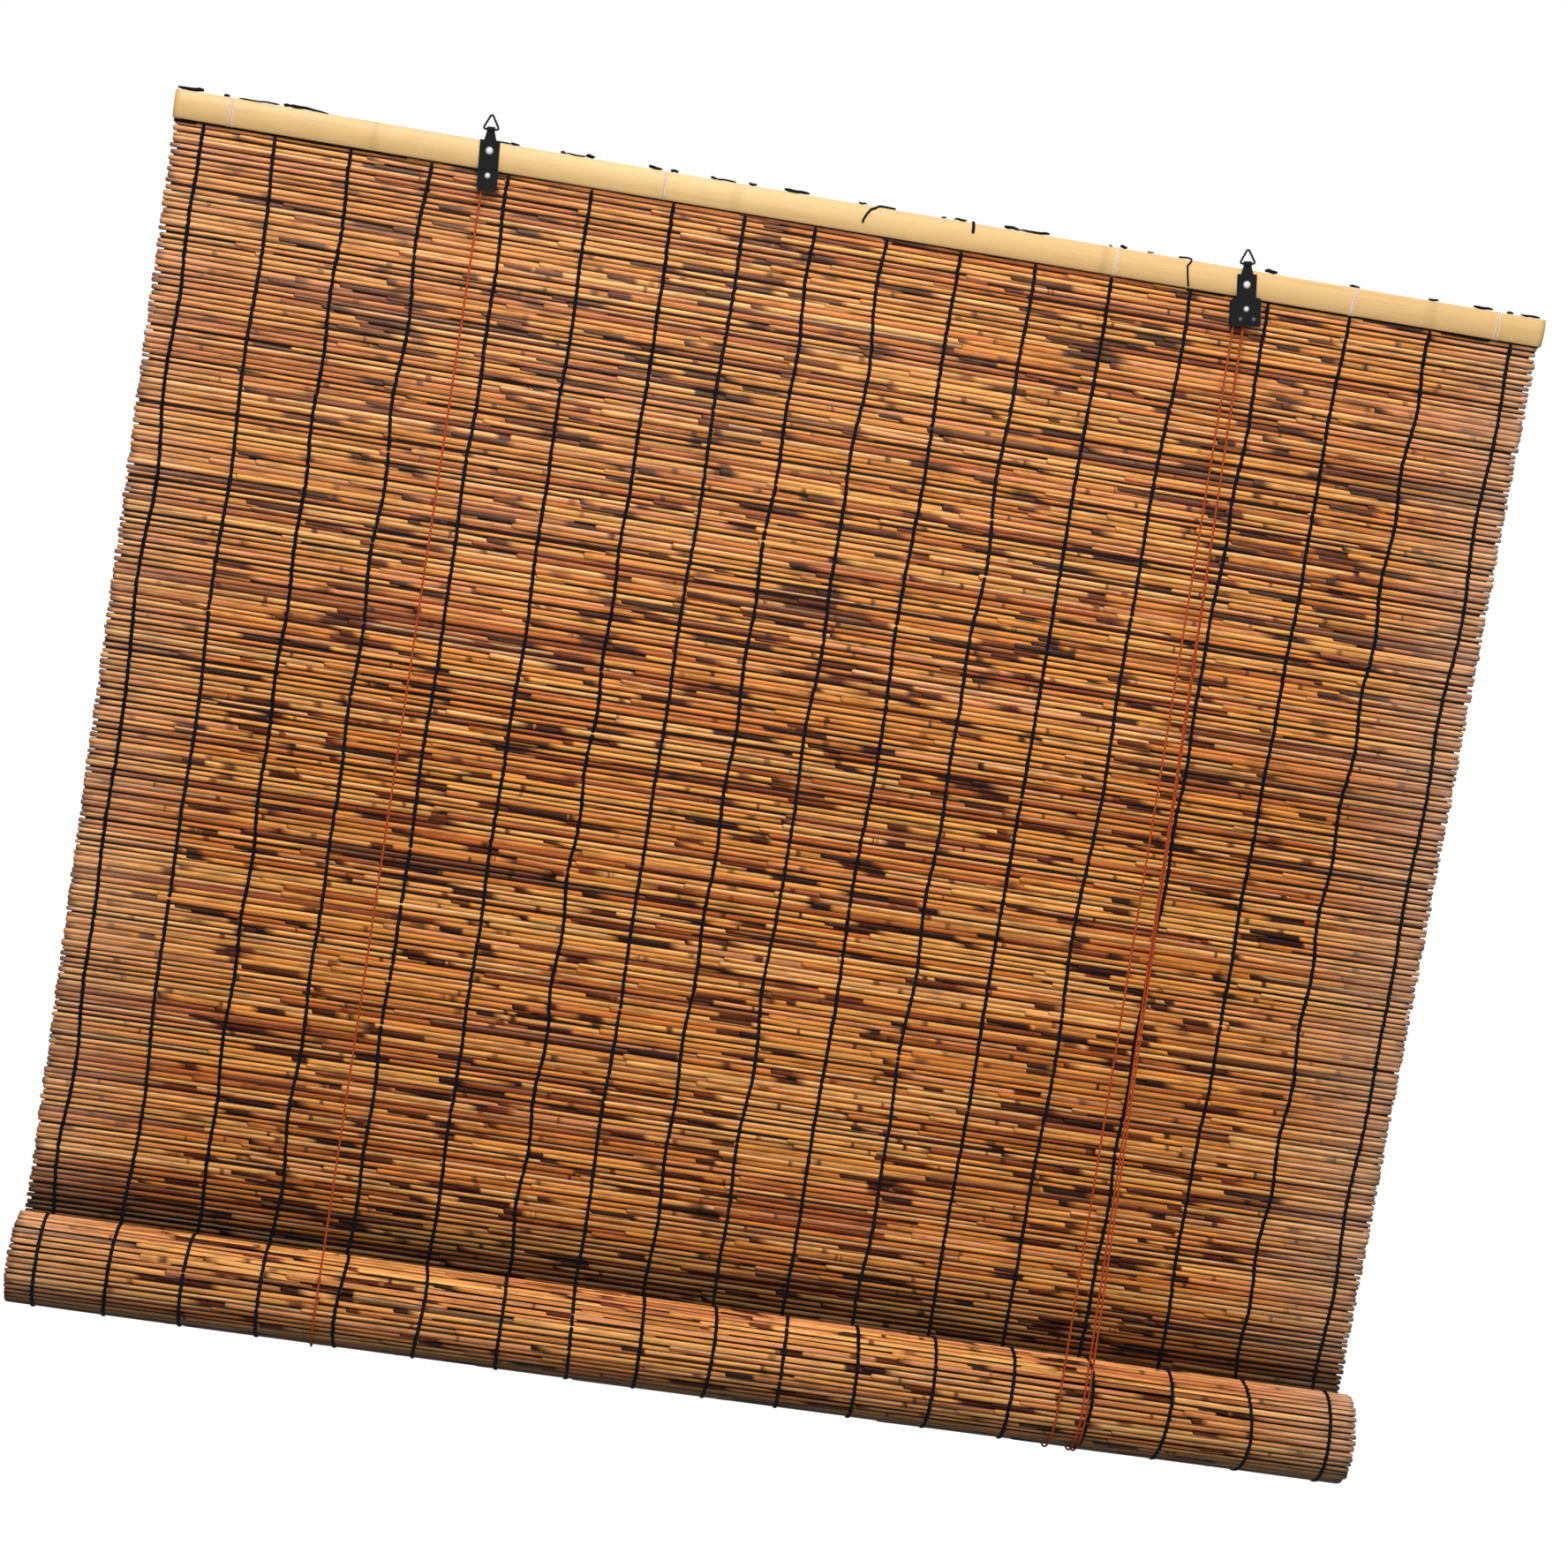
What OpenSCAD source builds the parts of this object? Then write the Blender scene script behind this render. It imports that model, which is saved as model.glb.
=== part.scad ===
// A reed roll-up blind that hangs from two rings, with the lower part of its mat rolled up in front.
// X runs along the width, the front faces -Y and Z is up. The origin is at mid width, on the mat's
// middle plane, at the level of the head battens' top edges. Lengths are in millimetres.

/* [Mat] */
// Width of the reed mat and length of the head battens
mat_w = 1200; // [900:10:1600]
// Drop from the head battens' top edges to the axis of the roll
drop = 1015; // [700:5:1400]
// Diameter of one reed
reed_d = 4.4; // [3.6:0.1:5.2]
// Space between two neighbouring reeds
reed_gap = 0.6; // [0.5:0.05:1]
// Thickness of the web that joins neighbouring reeds
web_t = 1.6; // [1:0.1:2.4]
// Rows of see-through gaps down the mat
slit_rows = 18; // [1:1:18]
// See-through gaps in one row
slit_cols = 6; // [1:1:6]
// Distance from the end of a see-through gap to the warp thread beside it
slit_end = 6; // [3:0.5:12]

/* [Warp threads] */
// Number of warp threads across the width
warp_count = 18; // [12:1:22]
// Distance from the mat's side edge to the outermost warp thread
warp_edge = 25; // [15:1:60]
// Largest drift of a warp thread from even spacing
warp_drift = 22; // [0:1:24]
// Width of a warp thread
warp_w = 1.6; // [1:0.1:2.4]
// Thickness of a warp thread
warp_t = 0.8; // [0.5:0.1:1.2]

/* [Roll] */
// Turns of the mat in the roll
roll_turns = 6.5; // [3:0.25:9]
// Clearance between two turns
turn_gap = 0.5; // [0.3:0.05:1]
// Diameter of the rod in the middle of the roll
rod_d = 12; // [8:0.5:20]

/* [Head] */
// Height of a head batten
batten_h = 24; // [22:0.5:30]
// Thickness of a head batten at its crown
batten_t = 7; // [6.5:0.5:12]
// Rise of a head batten's rounded face from its edges to its crown
batten_crown = 3; // [1:0.5:4]
// Width of a binding tie along the battens
tie_w = 4; // [3:0.5:10]
// Thickness of a binding tie
tie_t = 1.2; // [0.8:0.1:2]

/* [Hangers] */
// Place of the left hanger's upper rivet along the width
left_x = -332; // [-420:1:-240]
// Place of the right hanger's upper rivet along the width
right_x = 332; // [240:1:420]
// Depth of the left hanger's upper rivet below the battens' top edges
left_rivet_drop = 8; // [7:0.5:12]
// Depth of the right hanger's upper rivet below the battens' top edges
right_rivet_drop = 13; // [8:0.5:14]
// Lean of the left hanger about its upper rivet
left_lean = 4; // [0:0.5:8]
// Lean of the right hanger about its upper rivet
right_lean = 8; // [0:0.5:10]
// Width of a hanger's plate
plate_w = 17; // [16:0.5:22]
// Thickness of the pressed sheet
sheet_t = 1.4; // [1:0.1:1.8]
// Height of a plate's top edge above its upper rivet
plate_up = 9; // [7:0.5:12]
// Depth of the left plate's lower edge below its upper rivet
plate_down = 34; // [31:0.5:40]
// Height of the ring's bar above the upper rivet
bar_up = 18; // [16:0.5:22]
// Width of the neck where it leaves the plate
neck_w = 10.5; // [8:0.5:14]
// Outer diameter of the eye that holds the ring
eye_d = 4.4; // [3.6:0.1:5]
// Length of the eye along the ring's bar
eye_len = 7; // [5:0.5:8]

/* [Rings] */
// Diameter of the ring's wire
ring_wire = 1.8; // [1.4:0.1:2.2]
// Width of the ring between the corners of the wire's middle line
ring_w = 14; // [14:0.5:20]
// Height of the ring between the corners of the wire's middle line
ring_h = 13.4; // [12:0.2:18]
// Bend radius of the wire's middle line at a corner
ring_bend = 1.4; // [1.3:0.1:1.8]

/* [Rivets] */
// Head diameter of an upper rivet
rivet_head_d = 6.6; // [5:0.2:8]
// Head diameter of a lower rivet
small_head_d = 5.4; // [4.6:0.2:6]
// Height of a rivet's head
rivet_head_h = 1.2; // [0.8:0.1:1.6]
// Diameter of a rivet's shank and of the pins in the cord lock
shank_d = 3.2; // [2.6:0.1:3.6]
// Diameter of the washer behind a head batten
washer_d = 9; // [8:0.5:12]
// Thickness of that washer
washer_t = 1; // [0.6:0.1:1.6]

/* [Pulley and cord lock] */
// Radius of the cord's middle line on the left pulley
pulley_r = 3.6; // [3.2:0.1:4.2]
// Radius of the cord's middle line on the lock wheel
lock_r = 4.5; // [4:0.1:5]
// Rise of a wheel's rim past the cord's middle line
rim_rise = 0.8; // [0.4:0.1:0.9]
// Width of the cord lock's housing
lock_w = 26; // [25:0.5:32]
// Height of the housing's lower edge below the lock wheel's rim
lock_lip = 1.2; // [0.5:0.1:4]
// Radius of the cam
cam_r = 4.9; // [4.2:0.1:5.2]
// Shift of the cam's circle towards the cords
cam_shift = 1.1; // [0.6:0.1:1.5]
// Thickness of the cam
cam_t = 4.4; // [3:0.1:5]
// Length of the cam's lever from its pin
lever_len = 8.5; // [7:0.5:11]
// Width of the cam's lever
lever_w = 2.4; // [1.6:0.1:2.8]

/* [Cords] */
// Diameter of every cord
cord_d = 2; // [1.6:0.1:2]
// Place of the left sling along the width
left_sling_x = -331; // [-420:1:-240]
// Place of the right sling along the width
right_sling_x = 327; // [240:1:420]
// Middle of the pull cord's two strands along the width, at the roll
pull_x = 351; // [340:1:380]
// Distance between the pull cord's two strands at the roll
pull_gap = 4; // [4:0.2:8]
// Straight length of the hank's runs
hank_run = 36; // [30:1:40]
// Width of the hank
hank_w = 26; // [20:1:30]
// Thickness of the hank
hank_t = 8.5; // [6:0.5:12]

/* [Hidden] */

$fn = 48;
// Clearance of pieces that sit on each other
seat = 0.05;
// Radial clearance of a pin in what turns on it
run_fit = 0.05;
// Clearance of pieces that move past each other
pass = 0.3;
// Overshoot of a cutting shape past the face that it cuts
over = 1;

// Mat
mat_half = reed_d / 2;
reed_pitch = reed_d + reed_gap;
// Share of the space between two reeds that a see-through gap takes
slit_share = 2 / 3;
slit_h = reed_gap * slit_share;
turn_step = (reed_d + turn_gap) / 4;
mat_foot = -drop + turn_step / 2 + pass;
mat_reeds = floor(-mat_foot / reed_pitch);
// Reeds between the mat's ends and the nearest see-through gaps
slit_margin = 8;
// Reeds over which the gaps of one row are scattered
slit_scatter = 7;
// Reeds and warp spaces that the scatter moves on by, from one column or row of gaps to the next
slit_col_step = 3;
slit_row_step = 5;
// Share of the width over which the warps drift a little, before they drift fully
warp_turn = 0.35;
// Share of the full drift that they reach there
warp_little = 0.4;
warp_pitch = (mat_w - 2 * warp_edge) / (warp_count - 1);
warp_face = mat_half + seat + warp_t;

// Roll, a volute of quarter turns about four centres
quarters = 4 * roll_turns;
roll_r = rod_d / 2 + turn_step / 2 + pass + mat_half + (quarters - 1) * turn_step;
roll_y = -(roll_r + turn_step / 2);
roll_z = -drop;
// Foot of the front warp threads, just above where the roll lies on them
front_warp_foot = roll_z + roll_r / 2;

// Head
batten_in = mat_half + seat;
batten_out = batten_in + batten_t;
crown_r = (pow(batten_h / 2, 2) + pow(batten_crown, 2)) / (2 * batten_crown);
warp_top = -(batten_h + tie_t + 2 * seat + pass);
// Places of the binding ties, as shares of half the width
tie_at = [-0.92, -0.3, 0.36, 0.715, 0.93];

// Hangers, pressed from sheet
plate_back = -(batten_out + seat);
plate_front = plate_back - sheet_t;
plate_mid = plate_back - sheet_t / 2;
flange_back = -(warp_face + pass);
corner_cut = 2;
seam_deep = 0.5;
seam_h = 0.7;
left_rivet_z = -left_rivet_drop;
right_rivet_z = -right_rivet_drop;
shank_r = shank_d / 2;
// Rim of a rivet's peened tail past its shank
tail_rim = 1;
tail_d = shank_d + 2 * tail_rim;
tail_h = 0.8;

// Pulley on the left lower rivet, just below the battens
cord_r = cord_d / 2;
// Room of a cord in its groove, and the wall between two grooves
groove_room = 0.1;
groove_wall = 0.7;
groove_r = cord_r + groove_room;
rivet_step = (batten_h - left_rivet_drop + pass + seat + pulley_r + cord_r) / cos(left_lean);
pulley_w = -plate_back - warp_face - 3 * pass - tail_h;
pulley_y = plate_back + pass + pulley_w / 2;

// Cord lock: its wheel hangs below the right plate's end, and its cam bears on the cords beside it
tab_down = rivet_step + small_head_d / 2 + seat;
lock_back = plate_front;
lock_front = lock_back - sheet_t;
lock_top = batten_h - right_rivet_drop + pass;
lock_wheel_w = -lock_back - warp_face - 2 * pass - tail_h - seat;
lock_wheel_y = lock_back + pass + lock_wheel_w / 2;
lock_wheel_down = tab_down + pass + cord_r + lock_r;
lock_down = lock_wheel_down + lock_r + rim_rise + lock_lip;
lean_slip = (lock_down - lock_wheel_down) * tan(right_lean);
lock_wheel_left = lock_w / 2 - sheet_t - pass - cord_r - lean_slip - lock_r;
groove_step = 2 * groove_r + groove_wall;
groove_a_y = lock_wheel_y - groove_step / 2;
groove_b_y = lock_wheel_y + groove_step / 2;
cam_right = lock_r - lock_wheel_left + cord_r + pass + cam_shift + cam_r;
cam_y = lock_back + pass + cam_t / 2;
cam_teeth = 4;
tooth_deep = 0.5;
tooth_turn = 20;
lever_slope = -26;

// Cords tied behind the battens, and the circle of the slings under the roll
loop_r = shank_r + seat + cord_r;
loop_y = batten_out + 4 * seat + cord_r;
washer_y = loop_y + cord_r + seat;
sling_r = roll_r + turn_step / 2 + warp_face + pass + cord_r;

// Place of a point in a leaning hanger: x to the right of its upper rivet, z above it
function lean_x(x0, lean, x, z) = x0 + x * cos(lean) - z * sin(lean);
function lean_z(z0, lean, x, z) = z0 + x * sin(lean) + z * cos(lean);

pulley_x = lean_x(left_x, left_lean, 0, -rivet_step);
pulley_z = lean_z(left_rivet_z, left_lean, 0, -rivet_step);
lock_x = lean_x(right_x, right_lean, -lock_wheel_left, -lock_wheel_down);
lock_z = lean_z(right_rivet_z, right_lean, -lock_wheel_left, -lock_wheel_down);

// Where a cord from a point at y, z meets the slings' circle: an angle from the back, down and forward
function reach(y, z) = acos(sling_r / norm([y - roll_y, z - roll_z]));
function steer(y, z) = atan2(y - roll_y, z - roll_z);
function front_angle(y, z) = steer(y, z) - reach(y, z) + 270;
function back_angle(y, z) = steer(y, z) + reach(y, z) - 90;
function on_sling(x, a) = [x, roll_y + sling_r * cos(a), roll_z - sling_r * sin(a)];

// Upper ends of the strands
left_front_top = [pulley_x - pulley_r, pulley_y, pulley_z];
right_front_top = [lock_x - lock_r, groove_a_y, lock_z];
pull_a_top = [lock_x + lock_r, groove_a_y, lock_z];
pull_b_top = [lock_x + lock_r, groove_b_y, lock_z];
left_back_top = [left_x, loop_y, left_rivet_z - loop_r - cord_r - seat];
right_back_top = [right_x, loop_y, right_rivet_z - loop_r - cord_r - seat];

// Route of the cross cord behind the mat, past the pulley and the lock wheel
cross_y = warp_face + 2 * pass + cord_r;
cross_left_x = pulley_x + pulley_r + rim_rise + cord_r + 2 * seat;
cross_left_z = pulley_z + pulley_r;
cross_right_x = lock_x + lock_r;
cross_right_z = lock_z + lock_r + rim_rise + cord_r / 2;
cross_bend = 1.5;
// Angle between two points of the cord on the pulley
cross_turn = 22.5;
cross_route = concat(
  [
    for (a = [180 : -cross_turn : 90])
      [pulley_x + pulley_r * cos(a), pulley_y, pulley_z + pulley_r * sin(a)]
  ],
  [
    [cross_left_x - cross_bend, pulley_y, cross_left_z],
    [cross_left_x, pulley_y + cross_bend, cross_left_z],
    [cross_left_x, cross_y - cross_bend, cross_left_z],
    [cross_left_x + cross_bend, cross_y, cross_left_z],
    [cross_right_x - cross_bend, cross_y, cross_right_z],
    [cross_right_x, cross_y - cross_bend, cross_right_z],
    [cross_right_x, groove_b_y + cross_bend, cross_right_z],
    [cross_right_x, groove_b_y, cross_right_z - cross_bend],
    [cross_right_x, groove_b_y, lock_z + seat]
  ]
);

// Length of a strand that stays upright below a wheel
strand_upright = max(pulley_r, lock_r) + rim_rise + 2 * pass;

// Hank behind the roll, and where the pull cord's tails leave the slings' circle and enter it
hank_front = roll_y + sling_r + cord_r + pass;
hank_below = 4;
hank_z = roll_z - hank_below;
tail_leave = 45;
tail_below = 20;
tail_in_z = roll_z - tail_below;
// Points along a tail's turn under the roll, and the bend where it enters the hank
tail_steps = 5;
tail_bend = [2, 5];

function unit(v) = v / norm(v);
function headings(p) = [
  for (i = [0 : len(p) - 1])
    let (before = i > 0 ? unit(p[i] - p[i - 1]) : [0, 0, 0])
    let (after = i < len(p) - 1 ? unit(p[i + 1] - p[i]) : [0, 0, 0])
    unit(before + after)
];
function sides_of(t, n, i = 0) = i == len(t) ? [] :
  let (s = unit(n - (n * t[i]) * t[i])) concat([s], sides_of(t, s, i + 1));

// A round cord along a route of points
module tube(route, sides = 8) {
  t = headings(route);
  n = sides_of(t, abs(t[0][0]) < 0.7 ? [1, 0, 0] : [0, 1, 0]);
  last = len(route) - 1;
  points = [
    for (i = [0 : last], k = [0 : sides - 1])
      route[i] + cord_r * (cos(360 * k / sides) * n[i] + sin(360 * k / sides) * cross(t[i], n[i]))
  ];
  walls = [
    for (i = [0 : last - 1], k = [0 : sides - 1])
      let (m = (k + 1) % sides)
      [i * sides + k, (i + 1) * sides + k, (i + 1) * sides + m, i * sides + m]
  ];
  near_end = [for (k = [0 : sides - 1]) k];
  far_end = [for (k = [sides - 1 : -1 : 0]) last * sides + k];
  polyhedron(points, concat([near_end], walls, [far_end]));
}

// Places the flat shape's x along Y and its y along Z, and draws it out along X
module along_x(length) {
  rotate([90, 0, 90]) linear_extrude(length, center = true) children();
}

// Places the flat shape's x along Y and its y down, about the roll's axis, and draws it out along X
module about_roll(length) {
  translate([0, roll_y, roll_z]) rotate([-90, 0, 90]) linear_extrude(length, center = true) children();
}

// A rod along Y, from y0 to y1
module rod_y(x, z, r, y0, y1) {
  translate([x, y0, z]) rotate([-90, 0, 0]) cylinder(r = r, h = y1 - y0);
}

// A flat shape in x and z, drawn out along Y from y0 to y1
module sheet_y(y0, y1) {
  translate([0, y1, 0]) rotate([90, 0, 0]) linear_extrude(y1 - y0) children();
}

// Puts a hanger's own frame, centred on its upper rivet, in its leaning place
module leaning(x, z, lean) {
  translate([x, 0, z]) rotate([0, -lean, 0]) children();
}
module at_left() { leaning(left_x, left_rivet_z, left_lean) children(); }
module at_right() { leaning(right_x, right_rivet_z, right_lean) children(); }

// Outline of the two head battens side by side, grown by a margin
module half_head(grow) {
  intersection() {
    translate([crown_r - batten_out, -batten_h / 2]) circle(crown_r + grow, $fn = 96);
    translate([-batten_out - grow - over, -batten_h - grow])
      square([batten_out + grow + over, batten_h + 2 * grow]);
  }
}
module head_outline(grow) {
  half_head(grow);
  mirror([1, 0]) half_head(grow);
}

module batten() {
  difference() {
    along_x(mat_w) intersection() {
      half_head(0);
      translate([-batten_out - over, -batten_h]) square([batten_t + over, batten_h]);
    }
    rod_y(left_x, left_rivet_z, shank_r + seat, -batten_out - over, 0);
    rod_y(right_x, right_rivet_z, shank_r + seat, -batten_out - over, 0);
  }
}

module front_batten() { color("#e6c281") batten(); }

module back_batten() { color("#d9b273") mirror([0, 1, 0]) batten(); }

module batten_ties() {
  color("#f4e3cd")
    for (share = tie_at)
      translate([share * mat_w / 2, 0, 0]) along_x(tie_w) difference() {
        head_outline(tie_t + seat);
        head_outline(seat);
      }
}

// Where warp thread i lies along the width: even spacing with the weaver's drift
function warp_share(i) = i / (warp_count - 1);
function warp_x(i) = -mat_w / 2 + warp_edge + i * warp_pitch - warp_drift * (
  warp_share(i) < warp_turn
    ? warp_little * sin(180 * warp_share(i) / warp_turn)
    : sin(180 * (warp_share(i) - warp_turn) / (1 - warp_turn))
);

module mat_profile() {
  translate([-web_t / 2, mat_foot]) square([web_t, (mat_reeds - 0.5) * reed_pitch]);
  for (i = [0 : mat_reeds - 1])
    translate([0, mat_foot + (i + 0.5) * reed_pitch]) circle(mat_half, $fn = 32);
}

// See-through gaps between two reeds and two warp threads, scattered over the mat
module mat_slits() {
  row_step = (mat_reeds - 2 * slit_margin - slit_scatter) / slit_rows;
  for (row = [0 : slit_rows - 1], col = [0 : slit_cols - 1]) {
    reed = slit_margin + floor(row * row_step) + (slit_col_step * col) % slit_scatter;
    span = (slit_col_step * col + slit_row_step * row) % (warp_count - 1);
    x0 = warp_x(span) + warp_w / 2 + slit_end;
    x1 = warp_x(span + 1) - warp_w / 2 - slit_end;
    translate([x0, -mat_half, mat_foot + reed * reed_pitch - slit_h / 2])
      cube([x1 - x0, reed_d, slit_h]);
  }
}

// Openings behind the hangers and under the battens, for rivets, cords and ties
module mat_openings() {
  for (share = tie_at)
    translate([share * mat_w / 2 - tie_w / 2 - pass, -mat_half - over, -batten_h - tie_t - seat - pass])
      cube([tie_w + 2 * pass, reed_d + 2 * over, tie_t + seat + 2 * pass]);
  rod_y(left_x, left_rivet_z, shank_r + pass, -mat_half - over, mat_half + over);
  rod_y(right_x, right_rivet_z, shank_r + pass, -mat_half - over, mat_half + over);
  rod_y(cross_left_x, cross_left_z, cord_r + pass, -mat_half - over, mat_half + over);
  rod_y(cross_right_x, cross_right_z, cord_r + pass, -mat_half - over, mat_half + over);
}

module reed_mat() {
  color("#a9703f") difference() {
    along_x(mat_w) mat_profile();
    mat_slits();
    mat_openings();
  }
}

module warp_threads(foot) {
  for (i = [0 : warp_count - 1])
    translate([warp_x(i) - warp_w / 2, -warp_face, foot])
      cube([warp_w, warp_t, warp_top - foot]);
}

module front_warps() { color("#1c1715") warp_threads(front_warp_foot); }

module back_warps() { color("#1c1715") mirror([0, 1, 0]) warp_threads(mat_foot); }

// The roll's volute: quarter k turns about centre k with radius k
function volute_centre(k) = turn_step / 2 * [[1, -1], [1, 1], [-1, 1], [-1, -1]][k % 4];
function volute_r(k) = roll_r - k * turn_step;

module quarter_band(k, inner, outer) {
  r = volute_r(k);
  translate(volute_centre(k)) rotate(90 * k) intersection() {
    difference() {
      circle(r + outer, $fn = 96);
      circle(r + inner, $fn = 96);
    }
    square(r + outer + over);
  }
}

module quarter_reeds(k) {
  r = volute_r(k);
  count = max(1, floor(PI * r / 2 / reed_pitch));
  for (j = [0 : count - 1]) {
    a = 90 * (k + (j + 0.5) / count);
    translate(volute_centre(k) + r * [cos(a), sin(a)]) circle(mat_half, $fn = 32);
  }
}

module reed_roll() {
  color("#a9703f") about_roll(mat_w)
    for (k = [0 : quarters - 1]) {
      quarter_band(k, -web_t / 2, web_t / 2);
      quarter_reeds(k);
    }
}

// A warp thread over the roll, from the mat's foot to behind the roll's top
module roll_warp_band() {
  for (k = [0 : 2]) quarter_band(k, mat_half + seat, warp_face);
  intersection() {
    quarter_band(3, mat_half + seat, warp_face);
    translate(volute_centre(3)) rotate(270)
      polygon([[0, -over], [2 * roll_r, -over], [2 * roll_r, 2 * roll_r], [0, 0]]);
  }
}

module roll_warps() {
  color("#1c1715")
    for (i = [0 : warp_count - 1])
      translate([warp_x(i), 0, 0]) about_roll(warp_w) roll_warp_band();
}

module bottom_rod() {
  color("#b98a52") translate([0, roll_y, roll_z]) rotate([0, 90, 0])
    cylinder(d = rod_d, h = mat_w, center = true);
}

// A rivet along Y with its head at the front and a peened tail behind
module rivet(head_d, y0, y1) {
  dome_r = (pow(head_d / 2, 2) + pow(rivet_head_h, 2)) / (2 * rivet_head_h);
  intersection() {
    translate([0, y0 - rivet_head_h + dome_r, 0]) sphere(dome_r);
    rod_y(0, 0, head_d / 2, y0 - rivet_head_h - over, y0);
  }
  rod_y(0, 0, shank_r, y0 - seat, y1 + tail_h);
  rod_y(0, 0, tail_d / 2, y1, y1 + tail_h);
}

// A hanger's plate, neck and eye, in the hanger's own frame
module hanger_plate(down) {
  difference() {
    union() {
      sheet_y(plate_front, plate_back) polygon([
        [-plate_w / 2, plate_up],
        [-plate_w / 2, corner_cut - down],
        [corner_cut - plate_w / 2, -down],
        [plate_w / 2 - corner_cut, -down],
        [plate_w / 2, corner_cut - down],
        [plate_w / 2, plate_up]
      ]);
      sheet_y(plate_front, plate_back) polygon([
        [-neck_w / 2, plate_up],
        [neck_w / 2, plate_up],
        [eye_len / 2, bar_up - eye_d / 2],
        [eye_len / 2, bar_up],
        [-eye_len / 2, bar_up],
        [-eye_len / 2, bar_up - eye_d / 2]
      ]);
      translate([-eye_len / 2, plate_mid, bar_up]) rotate([0, 90, 0]) cylinder(d = eye_d, h = eye_len);
    }
    translate([-eye_len / 2 - over, plate_mid, bar_up]) rotate([0, 90, 0])
      cylinder(d = ring_wire + 2 * run_fit, h = eye_len + 2 * over);
    rod_y(0, 0, shank_r + seat, plate_front - over, plate_back + over);
    rod_y(0, -rivet_step, shank_r + seat, plate_front - over, plate_back + over);
  }
}

// Top of what is folded back below the battens, in a hanger's own frame
function skirt_top(rivet_z, lean, width) = -batten_h - pass - width / 2 * sin(lean) - rivet_z;

module left_hanger() {
  top = skirt_top(left_rivet_z, left_lean, plate_w);
  color("#1d1d1f") at_left() {
    difference() {
      hanger_plate(plate_down);
      translate([-plate_w / 2 - over, plate_front - over, -batten_h - left_rivet_z - seam_h / 2])
        cube([plate_w + 2 * over, over + seam_deep, seam_h]);
    }
    for (side = [0, 1])
      mirror([side, 0, 0]) translate([plate_w / 2 - sheet_t, plate_back, corner_cut - plate_down])
        cube([sheet_t, flange_back - plate_back, top - corner_cut + plate_down]);
  }
}

module right_hanger() { color("#1d1d1f") at_right() hanger_plate(tab_down); }

// A wire ring with three straight sides and round corners, in a hanger's own frame
ring_corners = [[-ring_w / 2, 0], [ring_w / 2, 0], [0, ring_h]];

module wire_side(p, q) {
  d = q - p;
  translate([p[0], 0, p[1]]) rotate([0, atan2(d[0], d[1]), 0]) cylinder(d = ring_wire, h = norm(d));
}

module wire_bend(before, corner, after) {
  inward = unit(unit(before - corner) + unit(after - corner));
  half = acos(unit(before - corner) * inward);
  centre = corner + inward * ring_bend / sin(half);
  sweep = 180 - 2 * half;
  translate([centre[0], 0, centre[1]]) rotate([90, 0, 0]) rotate(atan2(-inward[1], -inward[0]) - sweep / 2)
    rotate_extrude(angle = sweep) translate([ring_bend, 0]) circle(d = ring_wire, $fn = 32);
}

// Length of wire that the bend at a corner takes from each side there
function bend_take(before, corner, after) =
  ring_bend / tan(acos(unit(before - corner) * unit(after - corner)) / 2);

module wire_ring() {
  translate([0, plate_mid, bar_up])
    for (i = [0 : 2]) {
      before = ring_corners[(i + 2) % 3];
      corner = ring_corners[i];
      after = ring_corners[(i + 1) % 3];
      along = unit(after - corner);
      wire_bend(before, corner, after);
      wire_side(
        corner + along * bend_take(before, corner, after),
        after - along * bend_take(corner, after, before)
      );
    }
}

module left_ring() { color("#1d1d1f") at_left() wire_ring(); }

module right_ring() { color("#1d1d1f") at_right() wire_ring(); }

module left_rivet() {
  color("#e8e8e6") at_left() rivet(rivet_head_d, plate_front - seat, washer_y + washer_t + seat);
}

module right_rivet() {
  color("#e8e8e6") at_right() rivet(rivet_head_d, plate_front - seat, washer_y + washer_t + seat);
}

module washer() {
  difference() {
    rod_y(0, 0, washer_d / 2, washer_y, washer_y + washer_t);
    rod_y(0, 0, shank_r + seat, washer_y - over, washer_y + washer_t + over);
  }
}

module left_washer() { color("#b9b9b6") at_left() washer(); }

module right_washer() { color("#b9b9b6") at_right() washer(); }

module pulley_axle() {
  color("#e8e8e6") at_left() translate([0, 0, -rivet_step])
    rivet(small_head_d, plate_front - seat, pulley_y + pulley_w / 2 + pass);
}

// A wheel on an axle along Y, with a groove at each given place along it
module grooved_wheel(x, y, z, pitch_r, width, grooves) {
  difference() {
    rod_y(x, z, pitch_r + rim_rise, y - width / 2, y + width / 2);
    rod_y(x, z, shank_r + run_fit, y - width / 2 - over, y + width / 2 + over);
    for (g = grooves)
      translate([x, g, z]) rotate([90, 0, 0])
        rotate_extrude() {
          translate([pitch_r, 0]) circle(groove_r, $fn = 32);
          translate([pitch_r, -groove_r]) square([rim_rise + over, 2 * groove_r]);
        }
  }
}

module pulley_wheel() {
  color("#d8d4c8") grooved_wheel(pulley_x, pulley_y, pulley_z, pulley_r, pulley_w, [pulley_y]);
}

module lock_wheel() {
  color("#d8d4c8")
    grooved_wheel(lock_x, lock_wheel_y, lock_z, lock_r, lock_wheel_w, [groove_a_y, groove_b_y]);
}

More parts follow.
